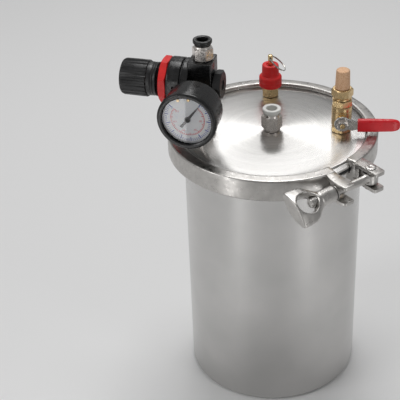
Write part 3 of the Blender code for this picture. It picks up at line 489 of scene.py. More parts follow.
def extruded(name, outline, low, high, at, sharp=32.0):
    mesh_data = bmesh.new()
    base = mesh_data.faces.new([mesh_data.verts.new((x, y, low)) for x, y in outline])
    grown = bmesh.ops.extrude_face_region(mesh_data, geom=[base])
    top = [v for v in grown["geom"] if isinstance(v, bmesh.types.BMVert)]
    bmesh.ops.translate(mesh_data, vec=(0, 0, high - low), verts=top)
    return make(name, mesh_data, at, sharp)


def lofted(name, sections, at, closed=False, sharp=32.0):
    mesh_data = bmesh.new()
    rings = [[mesh_data.verts.new(p) for p in section] for section in sections]
    count = len(rings[0])
    if closed:
        rings.append(rings[0])
    else:
        mesh_data.faces.new(rings[0])
        mesh_data.faces.new(rings[-1])
    for low, high in zip(rings, rings[1:]):
        for k in range(count):
            n = (k + 1) % count
            mesh_data.faces.new((low[k], low[n], high[n], high[k]))
    return make(name, mesh_data, at, sharp)


def piped(name, path, radius, sides, at, closed=False):
    points = [Vector(p) for p in path]
    count = len(points)
    normal = None
    sections = []
    for k, point in enumerate(points):
        before = points[k - 1] if k or closed else point
        after = points[(k + 1) % count] if k < count - 1 or closed else point
        heading = (after - before).normalized()
        if normal is None:
            normal = heading.orthogonal().normalized()
        normal = (normal - heading * normal.dot(heading)).normalized()
        side = heading.cross(normal)
        angles = [math.tau * s / sides for s in range(sides)]
        sections.append([point + (normal * math.cos(a) + side * math.sin(a)) * radius for a in angles])
    return lofted(name, sections, at, closed)


def rod(name, radius, low, high, at, segments=64):
    return turned(name, [(0, low), (radius, low), (radius, high), (0, high)], at, segments, 1.7)


def arc(centre, radius, start_deg, end_deg, steps):
    points = []
    for k in range(steps + 1):
        angle = math.radians(start_deg + (end_deg - start_deg) * k / steps)
        points.append((centre[0] + radius * math.cos(angle), centre[1] + radius * math.sin(angle)))
    return points


def rounded_box(x_range, y_range, radius, steps=6):
    (x0, x1), (y0, y1) = x_range, y_range
    outline = arc((x1 - radius, y0 + radius), radius, -90, 0, steps)
    outline += arc((x1 - radius, y1 - radius), radius, 0, 90, steps)
    outline += arc((x0 + radius, y1 - radius), radius, 90, 180, steps)
    outline += arc((x0 + radius, y0 + radius), radius, 180, 270, steps)
    return outline


def threaded(name, minor, major, low, high, pitch, at, around=48, per_turn=6):
    """A rod with a helical thread between two heights, tapering at its ends."""
    steps = round((high - low) / pitch * per_turn)
    sections = []
    for k in range(steps + 1):
        z = low + (high - low) * k / steps
        fade = min(1.0, (z - low) / pitch, (high - z) / pitch)
        ring = []
        for s in range(around):
            angle = math.tau * s / around
            phase = (z / pitch - s / around) % 1.0
            crest = 1 - abs(2 * phase - 1)
            radius = minor + (major - minor) * min(1.0, crest * 1.25) * fade
            ring.append((radius * math.cos(angle), radius * math.sin(angle), z))
        sections.append(ring)
    return lofted(name, sections, at, sharp=70)


# ---------------------------------------------------------------- pot, lid and clamp
def pot():
    inner = POT_R - POT_WALL
    top = JOINT_Z - GASKET_T / 2 - GAP
    rim = top - FLANGE_RIM
    neck_r = POT_R + 1.5
    neck_z = rim - (FLANGE_R - neck_r) * FLANGE_SLOPE
    outline = [(0, 0), (POT_R - POT_CORNER, 0)]
    outline += arc((POT_R - POT_CORNER, POT_CORNER), POT_CORNER, -78, 0, 10)
    outline += [(POT_R, 60), (POT_R, 120), (POT_R, neck_z - 2.4), (POT_R + 0.3, neck_z - 1.2)]
    outline += [(neck_r, neck_z), (FLANGE_R, rim), (FLANGE_R, top), (inner, top), (inner, POT_BASE + 5.0)]
    outline += arc((inner - 5.0, POT_BASE + 5.0), 5.0, 0, -90, 8)[1:] + [(0, POT_BASE)]
    shell = turned("pot", outline, WORLD, ROUND)
    shown(soften(shell, 0.3, 2), "root", "pot_steel", "pot_shell")


def lid():
    under = GASKET_T / 2 + GAP + JOINT_Z
    rim = under + FLANGE_RIM
    shoulder = rim + (FLANGE_R - LID_BOSS_R) * FLANGE_SLOPE
    outline = [(0, LID_UNDER), (LID_SPIGOT_R, LID_UNDER), (LID_SPIGOT_R, under), (FLANGE_R, under)]
    outline += [(FLANGE_R, rim), (LID_BOSS_R, shoulder), (LID_BOSS_R, LID_TOP - 0.7)]
    outline += arc((LID_BOSS_R - 0.7, LID_TOP - 0.7), 0.7, 0, 90, 4)[1:]
    outline += [(r, LID_TOP) for r in (60, 48, 36, 24, 12)] + [(0, LID_TOP)]
    plate = turned("lid", outline, WORLD, ROUND)
    span = (LID_UNDER - 2, LID_TOP + 2)
    holes = [
        rod("hole", PORT_HOLE_R, *span, OUTLET),
        rod("hole", PORT_HOLE_R, *span, RELIEF),
        rod("hole", VALVE_THREAD_R + 0.4, *span, VALVE),
        rod("hole", PORT_HOLE_R, *span, REG_DOWN),
    ]
    boolean(plate, holes)
    shown(plate, "lid", "lid_steel", "lid_plate")


def clamp_section():
    """The ring's cross-section with rounded corners, alike above and below."""
    half = arc((RING_LIP_R + 0.7, 4.55), 0.7, -150, -180, 2)
    half += arc((RING_LIP_R + 0.9, RING_HALF_H - 0.9), 0.9, 180, 90, 5)
    half += [(72.6, RING_HALF_H - 0.02), (75.2, RING_HALF_H - 0.12)]
    half += arc((RING_R - 1.35, RING_HALF_H - 1.55), 1.35, 86, 0, 6)
    half += [(RING_R, 3.6), (RING_R, 1.2)]
    top = [(RING_GROOVE_R - 0.4, 3.0)] + half
    return [(RING_GROOVE_R, 2.7)] + top + [(r, -z) for r, z in reversed(top)] + [(RING_GROOVE_R, -2.7)]


def ring_piece(name, start_deg, end_deg):
    steps = round(abs(end_deg - start_deg) / 1.5)
    sections = []
    for k in range(steps + 1):
        angle = math.radians(start_deg + (end_deg - start_deg) * k / steps)
        across, up = math.cos(angle), math.sin(angle)
        sections.append([(r * across, r * up, z) for r, z in clamp_section()])
    return soften(lofted(name, sections, CLOSURE), 0.45, 2, 50)


def slab(outline, low, high, width=0.85):
    """A casting's plate with well rounded edges."""
    return bake(soften(extruded("slab", outline, low, high, CLOSURE), width, 4, 20))


def rounded_outline(points, radius, steps=5):
    """The outline with each corner turned into an arc-like curve."""
    outline = []
    count = len(points)
    for k, (x, y) in enumerate(points):
        corner = Vector((x, y))
        before, after = Vector(points[k - 1]) - corner, Vector(points[(k + 1) % count]) - corner
        reach = min(radius, before.length * 0.45, after.length * 0.45)
        first, last = corner + before.normalized() * reach, corner + after.normalized() * reach
        for s in range(steps + 1):
            t = s / steps
            outline.append(tuple(first * (1 - t) ** 2 + corner * 2 * t * (1 - t) + last * t * t))
    return outline


def left_lug_outline():
    inner, outer = LUG_WEB - 8.5, LUG_OUTER
    centre = (BOLT_PIN_U, BOLT_PIN_V)
    first = 180 + math.degrees(math.acos((centre[0] - inner) / LUG_FACE))
    last = 180 + math.degrees(math.acos((centre[0] - (outer - 1.0)) / LUG_FACE))
    outline = arc(centre, LUG_FACE, first, last, 16)
    end = outline[-1][1]
    outline += [(outer - 0.2, end + 0.5), (outer, end + 1.3), (outer, LEFT_LUG_V - 1.3)]
    return outline + [(outer - 0.35, LEFT_LUG_V - 0.35), (outer - 1.3, LEFT_LUG_V), (inner, LEFT_LUG_V)]


def right_lug_outline():
    near, far = RIGHT_LUG_V, RIGHT_LUG_V + RIGHT_LUG_W
    corners = [(LUG_WEB - 8.0, near), (LUG_OUTER, near), (LUG_OUTER, far), (LUG_WEB - 5.5, far)]
    return rounded_outline(corners, 2.2)


def knuckle_outline(side):
    centre = (REAR_PIN_U, 0)
    if side > 0:
        return arc(centre, KNUCKLE_R, 130, 360, 30) + [(-76.0, 4.0), (-73.4, 15.0), (-75.5, 18.0)]
    return arc(centre, KNUCKLE_R, 0, 230, 30) + [(-75.5, -18.0), (-73.4, -15.0), (-76.0, -4.0)]


def clamp_halves():
    top = RING_HALF_H - 0.4
    lug = left_lug_outline()
    web_v = lug[0][1] + 1.0
    web = [(LUG_WEB - 6, web_v), (LUG_WEB, web_v), (LUG_WEB, LEFT_LUG_V - 0.4),
        (LUG_WEB - 6, LEFT_LUG_V - 0.4)]
    arm = knuckle_outline(-1)
    left = [
        bake(ring_piece("clamp_left", -4.6, -179.2)),
        slab(web, -EAR_INNER - 1, EAR_INNER + 1, 0.4),
        slab(lug, EAR_INNER, EAR_OUTER),
        slab(lug, -EAR_OUTER, -EAR_INNER),
        slab(arm, KNUCKLE_SPLIT + GAP, top, 0.7),
        slab(arm, -top, -KNUCKLE_SPLIT - GAP, 0.7),
    ]
    near, far = RIGHT_LUG_V + 0.4, RIGHT_LUG_V + RIGHT_LUG_W - 0.5
    web = [(LUG_WEB - 6, near), (LUG_WEB, near), (LUG_WEB, far), (LUG_WEB - 6, far)]
    lug = right_lug_outline()
    right = [
        bake(ring_piece("clamp_right", 9.8, 179.2)),
        slab(web, -EAR_INNER - 1, EAR_INNER + 1, 0.4),
        slab(lug, EAR_INNER, EAR_OUTER),
        slab(lug, -EAR_OUTER, -EAR_INNER),
        slab(knuckle_outline(1), -KNUCKLE_SPLIT, KNUCKLE_SPLIT, 0.7),
    ]
    for piece in left[4:] + right[4:]:
        boolean(piece, [rod("pin_hole", PIN_HOLE_R, -12, 12, REAR_PIN)])
    for piece in right[2:4]:
        boolean(piece, [rod("pin_hole", PIN_HOLE_R, -12, 12, BOLT_PIN)])
    shown(merged("clamp_left", left), "clamp_left", "clamp_steel", "clamp_half_left")
    shown(merged("clamp_right", right), "root", "clamp_steel", "clamp_half_right")


def pin(name, at, inner_half, node):
    """A riveted pin with slightly domed, dimpled heads."""
    head = inner_half + GAP
    end = head + 0.6
    stations = [(0, -end + 0.15), (1.1, -end + 0.15), (1.5, -end), (PIN_HEAD_R - 0.8, -end)]
    stations += [(PIN_HEAD_R - 0.2, -end + 0.2), (PIN_HEAD_R, -head), (PIN_R, -head)]
    stations += [(r, -z) for r, z in reversed(stations)]
    shown(turned(name, stations, at, 48), "root", "clamp_steel", node)


def bolt():
    eye_r = 5.8
    eye = [(eye_r, -3.2), (eye_r + 0.0, 3.2), (eye_r - 0.5, 3.8), (eye_r - 1.1, 4.0), (PIN_HOLE_R, 4.0)]
    eye += [(PIN_HOLE_R, -4.0), (eye_r - 1.1, -4.0), (eye_r - 0.5, -3.8)]
    start = NUT_START + 2.4
    shank = [(0, 4.2), (BOLT_SHANK_R + 0.9, 4.2), (BOLT_SHANK_R + 0.2, 7.0), (BOLT_SHANK_R, 9.0)]
    shank += [(BOLT_SHANK_R, start + 0.4), (0, start + 0.4)]
    parts = [
        turned("bolt", eye, BOLT_PIN, 64),
        turned("shank", shank, BOLT_AXIS, 48),
        threaded("thread", BOLT_SHANK_R, BOLT_THREAD_R, start, BOLT_END, 1.25, BOLT_AXIS),
    ]
    shown(merged("swing_bolt_piece", parts), "swing_bolt", "clamp_steel", "swing_bolt")
    low, high = NUT_START, NUT_START + WASHER_T
    ring = [(NUT_BORE_R, low), (NUT_BARREL_R - 0.3, low), (NUT_BARREL_R, low + 0.3)]
    ring += [(NUT_BARREL_R, high), (NUT_BORE_R, high)]
    shown(turned("washer", ring, BOLT_AXIS, 64), "nut_carrier", "clamp_steel", "thrust_washer")


def wing_section(z, span, depth, tip=0.35):
    lean = math.radians(WING_TURN_DEG)
    points = []
    for k in range(48):
        angle = math.tau * k / 48
        along = span * math.cos(angle)
        thick = depth * math.sin(angle) * (1 - tip * abs(math.cos(angle)) ** 1.5)
        x = -along * math.sin(lean) + thick * math.cos(lean)
        y = along * math.cos(lean) + thick * math.sin(lean)
        points.append((x, y, z))
    return points


def wing():
    """The nut: a barrel that spreads into a flat fan with a window through it."""
    start = NUT_START + WASHER_T + GAP
    end = NUT_START + NUT_LENGTH
    barrel_end = start + 13
    root = barrel_end - 4
    body = turned("wing_nut_piece",
        [(0, start), (NUT_BARREL_R, start), (NUT_BARREL_R, barrel_end), (0, barrel_end)], BOLT_AXIS)
    rows = ((0, 5.7, 5.7), (0.14, 6.5, 5.9), (0.28, 9.2, 6.1), (0.4, 12.0, 6.2), (0.52, 13.6, 6.3),
        (0.66, 14.3, 6.3))
    rows += ((0.85, WING_SPAN, 6.2), (0.97, WING_SPAN - 0.1, 5.9), (1.0, WING_SPAN - 0.4, 5.5))
    fan = lofted("fan", [wing_section(root + (end - root) * t, s, d) for t, s, d in rows], BOLT_AXIS)
    boolean(body, [fan], "UNION")
    lean = math.radians(WING_TURN_DEG)
    centre = BOLT_AXIS @ Vector((0, 0, WINDOW_AT * MM)) / MM
    facing = OUTWARD * math.cos(lean) + UP * math.sin(lean)
    window = turned(
        "window",
        [(0, -12), (WINDOW_R + 0.8, -12), (WINDOW_R + 0.3, -6.2), (WINDOW_R - 1.0, -4.4),
            (WINDOW_R - 2.6, 0),
         (WINDOW_R - 1.0, 4.4), (WINDOW_R + 0.3, 6.2), (WINDOW_R + 0.8, 12), (0, 12)],
        place(centre, ALONG, facing),
        64,
    )
    boolean(body, [rod("bore", NUT_BORE_R, start - 2, WINDOW_AT, BOLT_AXIS), window])
    grid = body.modifiers.new("cast", "REMESH")
    grid.mode = "VOXEL"
    grid.voxel_size = 0.36 * MM
    ease = body.modifiers.new("ease", "SMOOTH")
    ease.factor = 0.6
    ease.iterations = 7
    bake(body, 80)
    shown(body, "wing_nut", "clamp_steel", "wing_nut")


# ---------------------------------------------------------------- fittings on the lid
def push_fitting(name, seat, low, at, hex_low, body_node):
    """A push-in fitting's body: thread, hexagon with trimmed corners, and a rolled collar."""
    floor, top = seat + 5.2, seat + 13.8
    stations = [(3.1, low), (PORT_R, low), (PORT_R, seat + GAP), (HEX_HALF - 0.9, seat + GAP)]
    if hex_low > seat + 3:
        stations = [(3.1, low), (PORT_R, low), (PORT_R, hex_low)]
    stations += hexagon(HEX_HALF, hex_low, seat + 12.2, 0.8)
    stations += [(HEX_HALF - 0.35, seat + 12.3), (HEX_HALF - 0.5, seat + 12.9),
        (HEX_HALF - 0.9, seat + 13.5)]
    stations += [(COLLAR_BORE_R + 0.1, top), (COLLAR_BORE_R, top - 0.2), (COLLAR_BORE_R, floor),
        (3.1, floor)]
    shown(turned(name, stations, at), "lid", "nickel_plate", body_node)


def push_collar(name, seat, at, body, slot, node):
    sleeve_end, flange = seat + 7.2, seat + 15.4
    top = flange + 2.9
    stations = [(TUBE_R, sleeve_end), (COLLAR_SLEEVE_R, sleeve_end), (COLLAR_SLEEVE_R, flange)]
    stations += [(COLLAR_R - 0.5, flange)] + arc((COLLAR_R - 0.7, flange + 0.75), 0.7, -70, 0, 4)
    stations += [(COLLAR_R, top - 0.9)] + arc((COLLAR_R - 0.8, top - 0.8), 0.8, 20, 90, 4)
    stations += [(TUBE_R + 0.6, top), (TUBE_R + 0.15, top - 0.25), (TUBE_R, top - 0.8)]
    shown(turned(name, stations, at), body, slot, node)


def relief():
    neck_top = RELIEF_CAP_Z + 6.0
    chamber = LID_TOP + 3.4
    base = [(2.2, THREAD_END), (PORT_R, THREAD_END), (PORT_R, LID_TOP + GAP)]
    base += hexagon(6.0, LID_TOP + GAP, RELIEF_CAP_Z - GAP, 0.5)
    base += [(5.2, RELIEF_CAP_Z - GAP), (5.2, neck_top), (3.7, neck_top), (3.7, chamber), (2.2, chamber)]
    shown(turned("relief_base", base, RELIEF, 96, 30), "lid", "brass", "relief_body")

    def ribbed(size, angle):
        """Fine grips all round, as moulded caps have."""
        return size - 0.16 * (0.5 + 0.5 * math.cos(36 * angle)) ** 3

    z, top = RELIEF_SHOULDER_Z, RELIEF_TOP_Z
    cap = [(5.6, RELIEF_CAP_Z), (8.2, RELIEF_CAP_Z), (8.65, RELIEF_CAP_Z + 0.3),
        (8.8, RELIEF_CAP_Z + 0.9)]
    cap += [(8.8, RELIEF_CAP_Z + 3.2), (8.62, RELIEF_CAP_Z + 3.5), (8.62, RELIEF_CAP_Z + 4.0),
        (8.8, RELIEF_CAP_Z + 4.3)]
    cap += [(8.8, z - 1.7), (8.55, z - 0.9), (8.0, z - 0.3), (7.1, z), (6.75, z + 0.3)]
    cap += [(6.62, z + 1.2, ribbed), (6.45, top - 1.4, ribbed), (6.4, top - 0.9), (6.1, top - 0.25),
        (5.5, top)]
    cap += [(3.4, top), (3.1, top - 0.3), (2.9, top - 0.9), (2.3, top - 1.0), (2.3, top - 2.0),
        (4.7, top - 2.0)]
    cap += [(4.7, neck_top + GAP), (5.6, neck_top + GAP)]
    shown(turned("relief_top", cap, RELIEF, 288), "lid", "red_plastic", "relief_cap")
    disc = chamber + GAP + 1.0 + GAP
    stem = [(0, disc), (3.2, disc), (3.2, disc + 1.4), (1.4, disc + 1.4), (1.4, top + 2.2),
        (1.75, top + 2.6)]
    stem += [(1.9, top + 3.2), (1.9, RELIEF_STEM_TOP - 0.8), (1.6, RELIEF_STEM_TOP - 0.25),
        (1.0, RELIEF_STEM_TOP)]
    stem += [(0, RELIEF_STEM_TOP)]
    post = turned("relief_post", stem, RELIEF, 48)
    eye = place((*RELIEF_AT, RELIEF_RING_Z), (1, 0, 0), (0, 1, 0))
    boolean(post, [rod("eye", 1.15, -4, 4, eye, 32)])
    shown(post, "relief_stem", "brass", "relief_stem")
    drop = math.radians(RELIEF_RING_DROP_DEG)
    centre = Vector((math.cos(drop), math.sin(drop), 0))
    beside = Vector((-math.sin(drop), math.cos(drop), 0))
    path = []
    for k in range(144):
        angle = 2 * math.tau * k / 144
        # two turns of wire side by side, which cross over opposite the stem
        offset = 0.3 * math.cos(angle / 2)
        path.append(
            centre * (RELIEF_RING_R * (1 - math.cos(angle)) - 0.12)
            + Vector((0, 0, RELIEF_RING_R * math.sin(angle)))
            + beside * offset
        )
    ring = piped("split_ring", path, 0.38, 10, eye, closed=True)
    shown(ring, "relief_ring", "spring_steel", "relief_ring")


def ball_valve():
    chamber = VALVE_STEM_Z - 6.0
    low, top = LID_TOP + GAP, VALVE_TOP_Z
    stations = [(2.6, THREAD_END), (VALVE_THREAD_R, THREAD_END), (VALVE_THREAD_R, low)]
    stations += hexagon(7.0, low, LID_TOP + 4.6, 0.6)
    stations += [(6.6, LID_TOP + 4.9), (VALVE_BODY_R - 0.5, LID_TOP + 5.3), (VALVE_BODY_R, LID_TOP + 6.1)]
    stations += [(VALVE_BODY_R, top - 4.2), (VALVE_BODY_R - 0.5, top - 3.8),
        (VALVE_BODY_R - 0.5, top - 3.3)]
    stations += [(VALVE_BODY_R, top - 2.9), (VALVE_BODY_R, top - 0.6), (VALVE_BODY_R - 0.6, top),
        (5.7, top)]
    stations += [(5.7, chamber), (2.6, chamber)]
    body = turned("valve_housing", stations, VALVE, 96, 30)
    boss = turned("boss", [(0, 6.2), (4.6, 6.2), (4.6, 8.6), (4.2, 9.2), (4.2, 10.3), (0, 10.3)],
        VALVE_STEM, 64, 1.1)
    boolean(body, [boss], "UNION")
    boolean(body, [rod("stem_hole", 2.3, 3.5, 12, VALVE_STEM, 32)])
    shown(body, "lid", "brass", "valve_body")
    low = VALVE_STEM_Z + 6.0
    stations = [(2.6, low), (5.3, low), (5.3, top + GAP), *hexagon(7.0, top + GAP, VALVE_END_Z, 0.8)]
    stations += [(5.2, VALVE_END_Z), (5.2, top + 1), (2.6, top + 1)]
    shown(turned("valve_end", stations, VALVE, 96, 30), "lid", "brass", "valve_end_piece")
    stations = [(0, 4.9), (1.9, 4.9)] + [(1.9 - 0.12 * (k % 2), 12.9 + 0.25 * k) for k in range(13)]
    stations += [(1.3, 16.4), (0, 16.4)]
    shown(turned("valve_spindle", stations, VALVE_STEM, 48), "valve_lever", "brass", "valve_stem")


def lever():
    low, high = -LEVER_DROP - LEVER_BLADE_HALF_H, -LEVER_DROP + LEVER_BLADE_HALF_H
    outline = arc((0, 0), 5.9, 44, 316, 40) + [(7.5, low - 1.1), (9.8, low - 0.35), (12.5, low)]
    outline += arc((LEVER_END - 3, low + 3), 3, -90, 0, 6) + arc((LEVER_END - 3, high - 3), 3, 0, 90, 6)
    outline += [(12.5, high), (9.8, high + 0.35), (7.5, high + 1.1)]
    blade = extruded("lever", outline, *LEVER_PLATE, VALVE_STEM)
    boolean(blade, [rod("hole", 2.2, 8, 15, VALVE_STEM, 32)])
    shown(soften(blade, 0.3, 2), "valve_lever", "lever_steel", "valve_lever")
    near, far = SLEEVE_Y
    middle, half_t = (near + far) / 2, (far - near) / 2
    sections = []
    for x, dh, dt in (
        (SLEEVE_START, 0.25, 0.2), (SLEEVE_START + 0.25, 0.05, 0.05), (SLEEVE_START + 0.9, 0, 0),
            (20, 0, 0),
        (27, 0.1, 0.05), (SLEEVE_END - 6, 0.3, 0.15), (SLEEVE_END - 3.2, 0.75, 0.4),
            (SLEEVE_END - 1.7, 1.35, 0.75),
        (SLEEVE_END - 0.8, 2.1, 1.15), (SLEEVE_END - 0.25, 3.0, 1.6), (SLEEVE_END, 4.2, 2.1),
    ):
        outline = rounded_box((-SLEEVE_HALF_H + dh, SLEEVE_HALF_H - dh),
            (-half_t + dt, half_t - dt), (half_t - dt) * 0.9, 8)
        sections.append([(x, y - LEVER_DROP, middle + z) for y, z in outline])
    sleeve = lofted("sleeve", sections, VALVE_STEM, sharp=50)
    room = LEVER_BLADE_HALF_H + 0.35
    box = [(SLEEVE_START - 3, -LEVER_DROP - room), (LEVER_END + 0.35, -LEVER_DROP - room)]
    box += [(LEVER_END + 0.35, -LEVER_DROP + room), (SLEEVE_START - 3, -LEVER_DROP + room)]
    boolean(sleeve, [extruded("pocket", box, LEVER_PLATE[0] - 0.35, LEVER_PLATE[1] + 0.35, VALVE_STEM)])
    shown(sleeve, "valve_lever", "red_vinyl", "lever_sleeve")
    low, high = LEVER_PLATE[1] + GAP, LEVER_PLATE[1] + 3.1
    ring = [(2.2, low), (4.3, low), (4.3, low + 0.45), *hexagon(3.6, low + 0.46, high, 0.35), (2.2, high)]
    shown(turned("lever_hex_nut", ring, VALVE_STEM, 96), "valve_lever", "nickel_plate", "lever_nut")


def silencer():
    seat, low, top = VALVE_END_Z + GAP, VALVE_TOP_Z + 1.6, SILENCER_HEX_TOP
    stations = [(2.4, low), (4.9, low), (4.9, seat), (6.3, seat), (6.3, seat + 1.3), (5.9, seat + 1.5)]
    stations += [(5.9, seat + 1.9), *hexagon(7.0, seat + 2.1, top - 0.3, 0.8), (6.4, top - 0.25),
        (6.2, top)]
    stations += [(5.0, top), (5.0, top - 3.0), (2.4, top - 3.0)]
    shown(turned("silencer_nut", stations, VALVE), "lid", "brass", "silencer_base")
    foot, end = top - 2.7, SILENCER_TOP
    element = [(0, end), (3.4, end), (4.3, end - 0.15), (4.85, end - 0.55), (5.05, end - 1.2),
        (5.5, top + GAP)]
    element += [(4.6, top + GAP), (4.6, foot), (2.6, foot), (2.6, end - 2.5), (0, end - 2.5)]
    shown(turned("silencer_cup", element, VALVE), "lid", "sintered_bronze", "silencer_element")


# ---------------------------------------------------------------- regulator
def regulator():
    left, right = -BLOCK_ENDS[1], -BLOCK_ENDS[0]
    outline = rounded_box((left, right), (-BLOCK_HALF_D, BLOCK_HALF_D), 1.1, 5)
    body = extruded("regulator_block", outline, BLOCK_BOTTOM, BLOCK_TOP, REG_DOWN)
    bake(soften(body, 0.5, 3, 50))
    flange = turned(
        "flange",
        [(0, 8.4), (BONNET_R - 0.4, 8.4), (BONNET_R, 8.8), (BONNET_R, FLANGE_END - 0.3),
            (BONNET_R - 0.3, FLANGE_END), (0, FLANGE_END)],
        REG_AXIS, 128, 1.3,
    )
    ribs = []
    for z in (BLOCK_TOP - 6.6, BLOCK_TOP - 9.0):
        for side in (-1, 1):
            groove = rounded_box((left + 2.4, right - 1.6), (z - 0.45, z + 0.45), 0.4, 4)
            at = place(on_regulator(0, side * BLOCK_HALF_D, 0), REG_RIGHT, REG_FRONT)
            ribs.append(extruded("groove", groove, -0.6, 0.6, at))
    boolean(body, [flange], "UNION")
    boolean(body, ribs)
    boolean(body, [
        rod("room", 13.5, 10.6, FLANGE_END + 2, REG_AXIS),
        rod("plug_port", 6.4, -12, -3, REG_AXIS),
        rod("inlet_port", PORT_HOLE_R, BLOCK_TOP - 10, BLOCK_TOP + 4, REG_DOWN),
        rod("outlet_port", PORT_HOLE_R, BLOCK_BOTTOM - 4, BLOCK_BOTTOM + 5.9, REG_DOWN),
        rod("gauge_port", PORT_HOLE_R, 4.6, 14, GAUGE),
        rod("poppet_bore", 3.2, -4, 12, REG_AXIS, 32),
    ])
    shown(body, "lid", "black_paint", "regulator_body")
    near = BLOCK_ENDS[0] - GAP
    stations = [(0, PLUG_END + 0.9), (3.4, PLUG_END + 0.9, 6), (3.6, PLUG_END, 6), (8.9, PLUG_END),
        *hexagon(9.9, PLUG_END, near, 1.1)]
    stations += [(6.0, near), (6.0, -4.2), (0, -4.2)]
    shown(turned("plug", stations, REG_AXIS, 96, 10), "lid", "black_plastic", "bottom_plug")
    low = FLANGE_END + 1.3 + GAP
    z = BONNET_SHOULDER
    stations = [(13.5, low), (BONNET_R - 0.3, low), (BONNET_R, low + 0.3), (BONNET_R, z - 1.6)]
    stations += arc((BONNET_R - 1.4, z - 1.4), 1.4, 0, 90, 6)[1:] + [(BONNET_THREAD_R, z)]
    turns = round((BONNET_THREAD_END - z - 0.4) / 0.5)
    stations += [(BONNET_THREAD_R - 0.55 * (k % 2), z + 0.2 + 0.5 * k) for k in range(turns + 1)]
    stations += [(BONNET_THREAD_R - 0.7, BONNET_THREAD_END), (BONNET_NECK_R, BONNET_THREAD_END)]
    stations += [(BONNET_NECK_R, BONNET_NECK_END), (3.5, BONNET_NECK_END), (3.5, BONNET_NECK_END - 4)]
    stations += [(8.9, BONNET_NECK_END - 4), (8.9, z - 1.5), (13.5, z - 4)]
    bonnet = turned("bonnet", stations, REG_AXIS, 128)
    vent = place(on_regulator(-18.6, 0, REG_Z + 3.0), REG_RIGHT, REG_FRONT)
    boolean(bonnet,
        [turned("vent", [(0, 5), (0.8, 5), (0.8, 17.0), (1.4, 18.2), (1.4, 22), (0, 22)], vent, 32)])
    shown(bonnet, "lid", "black_paint", "regulator_bonnet")


def octagon_nut():
    half = PANEL_NUT_CORNER_R * math.cos(math.pi / 8)
    low, high = PANEL_NUT
    bore = BONNET_THREAD_R + GAP
    stations = [(bore, low), (half - 0.5, low), *hexagon(half, low, high, 0.7, sides=8),
        (half - 0.5, high)]
    stations += [(bore + 0.5, high), (bore, high - 0.5)]
    shown(turned("locknut", stations, REG_AXIS, 192, 25), "lid", "red_plastic", "panel_nut")


def knob():
    near, step, end = KNOB

    def fluted(size, angle):
        """Flat-bottomed flutes with eased sides."""
        wave = math.cos(angle * FLUTES)
        return size - FLUTE_DEPTH * 0.5 * (1 + max(-1.0, min(1.0, wave * 2.2)))

    bore = BONNET_NECK_R + 0.5
    stations = [(0, near), (KNOB_COLLAR_R - 0.3, near), (KNOB_COLLAR_R, near + 0.3)]
    stations += [(KNOB_COLLAR_R - 0.35 * (k % 2), near + 1.2 + 0.8 * k) for k in range(5)]
    stations += [(KNOB_COLLAR_R, step - 1.2), (KNOB_COLLAR_R, step), (KNOB_R - 0.5, step + 0.1, fluted)]
    stations += [(KNOB_R, step + 0.7, fluted), (KNOB_R, step + 6, fluted),
        (KNOB_R - 0.15, end - 2.4, fluted)]
    stations += [(KNOB_R - 0.5, end - 1.3, fluted), (KNOB_R - 1.2, end - 0.5),
        (KNOB_R - 2.2, end - 0.1), (KNOB_R - 3.2, end)]
    stations += [(7.5, end), (7.2, end - 0.4), (6.8, end - 0.4), (6.5, end), (0, end)]
    cap = turned("knob", stations, REG_AXIS, 240, sharp=28)
    boolean(cap, [rod("hollow", bore, near - 2, KNOB_FLOOR, REG_AXIS)])
    roof, foot = KNOB_FLOOR + 0.6, 50.8
    socket = [(0, roof + 0.4), (7.2, roof + 0.4), (7.2, foot), (4.4, foot, 6), (4.4, roof, 6), (0, roof)]
    shown(
        merged("knob", [cap, turned("socket", socket, REG_AXIS, 48)]),
        "adjusting_knob", "black_plastic", "adjusting_knob",
    )


def nipple():
    top = BLOCK_BOTTOM - GAP
    stations = [(2.4, THREAD_END), (PORT_R, THREAD_END), (PORT_R, LID_TOP + GAP)]
    stations += hexagon(6.8, LID_TOP + GAP, LID_TOP + 7, 0.7) + [(5.6, LID_TOP + 7.3), (5.6, top - 5.3)]
    stations += hexagon(6.8, top - 5.0, top, 0.7) + [(PORT_R, top), (PORT_R, top + 5.6), (2.4, top + 5.6)]
    shown(turned("nipple", stations, REG_DOWN), "lid", "nickel_plate", "outlet_nipple")


# ---------------------------------------------------------------- gauge
def gauge_housing():
    back, end = GAUGE_BACK, GAUGE_CASE_END
    stations = [(3.7, back), (16.4, back)] + arc((GAUGE_CASE_R - 3.4, back + 3.4), 3.4, -80, 0, 8)
    stations += [(GAUGE_CASE_R, end - 0.3), (GAUGE_CASE_R - 0.3, end), (GAUGE_CASE_R - 1.5, end)]
    stations += [(GAUGE_CASE_R - 1.5, back + 3.4), (17.0, back + 1.7), (3.7, back + 1.7)]
    shown(turned("case", stations, GAUGE, 128), "lid", "black_paint", "gauge_case")
    low, lip = end + GAP, GAUGE_FRONT - 1.5
    stations = [(19.4, low), (GAUGE_BEZEL_R - 0.5, low), (GAUGE_BEZEL_R, low + 0.5),
        (GAUGE_BEZEL_R, GAUGE_FRONT - 2.2)]
    stations += arc((GAUGE_BEZEL_R - 1.8, GAUGE_FRONT - 1.8), 1.8, 15, 90, 6)
    stations += [(GAUGE_OPENING_R + 0.9, GAUGE_FRONT - 0.1), (GAUGE_OPENING_R + 0.25, GAUGE_FRONT - 0.6)]
    stations += [(GAUGE_OPENING_R, lip), (19.4, lip)]
    shown(turned("bezel", stations, GAUGE, 128), "lid", "black_paint", "gauge_bezel")
    high = lip - GAP
    lens = turned("lens", [(0, high - 1.0), (19.0, high - 1.0), (19.0, high), (0, high)], GAUGE, 96)
    shown(lens, "lid", "clear_lens", "gauge_lens")


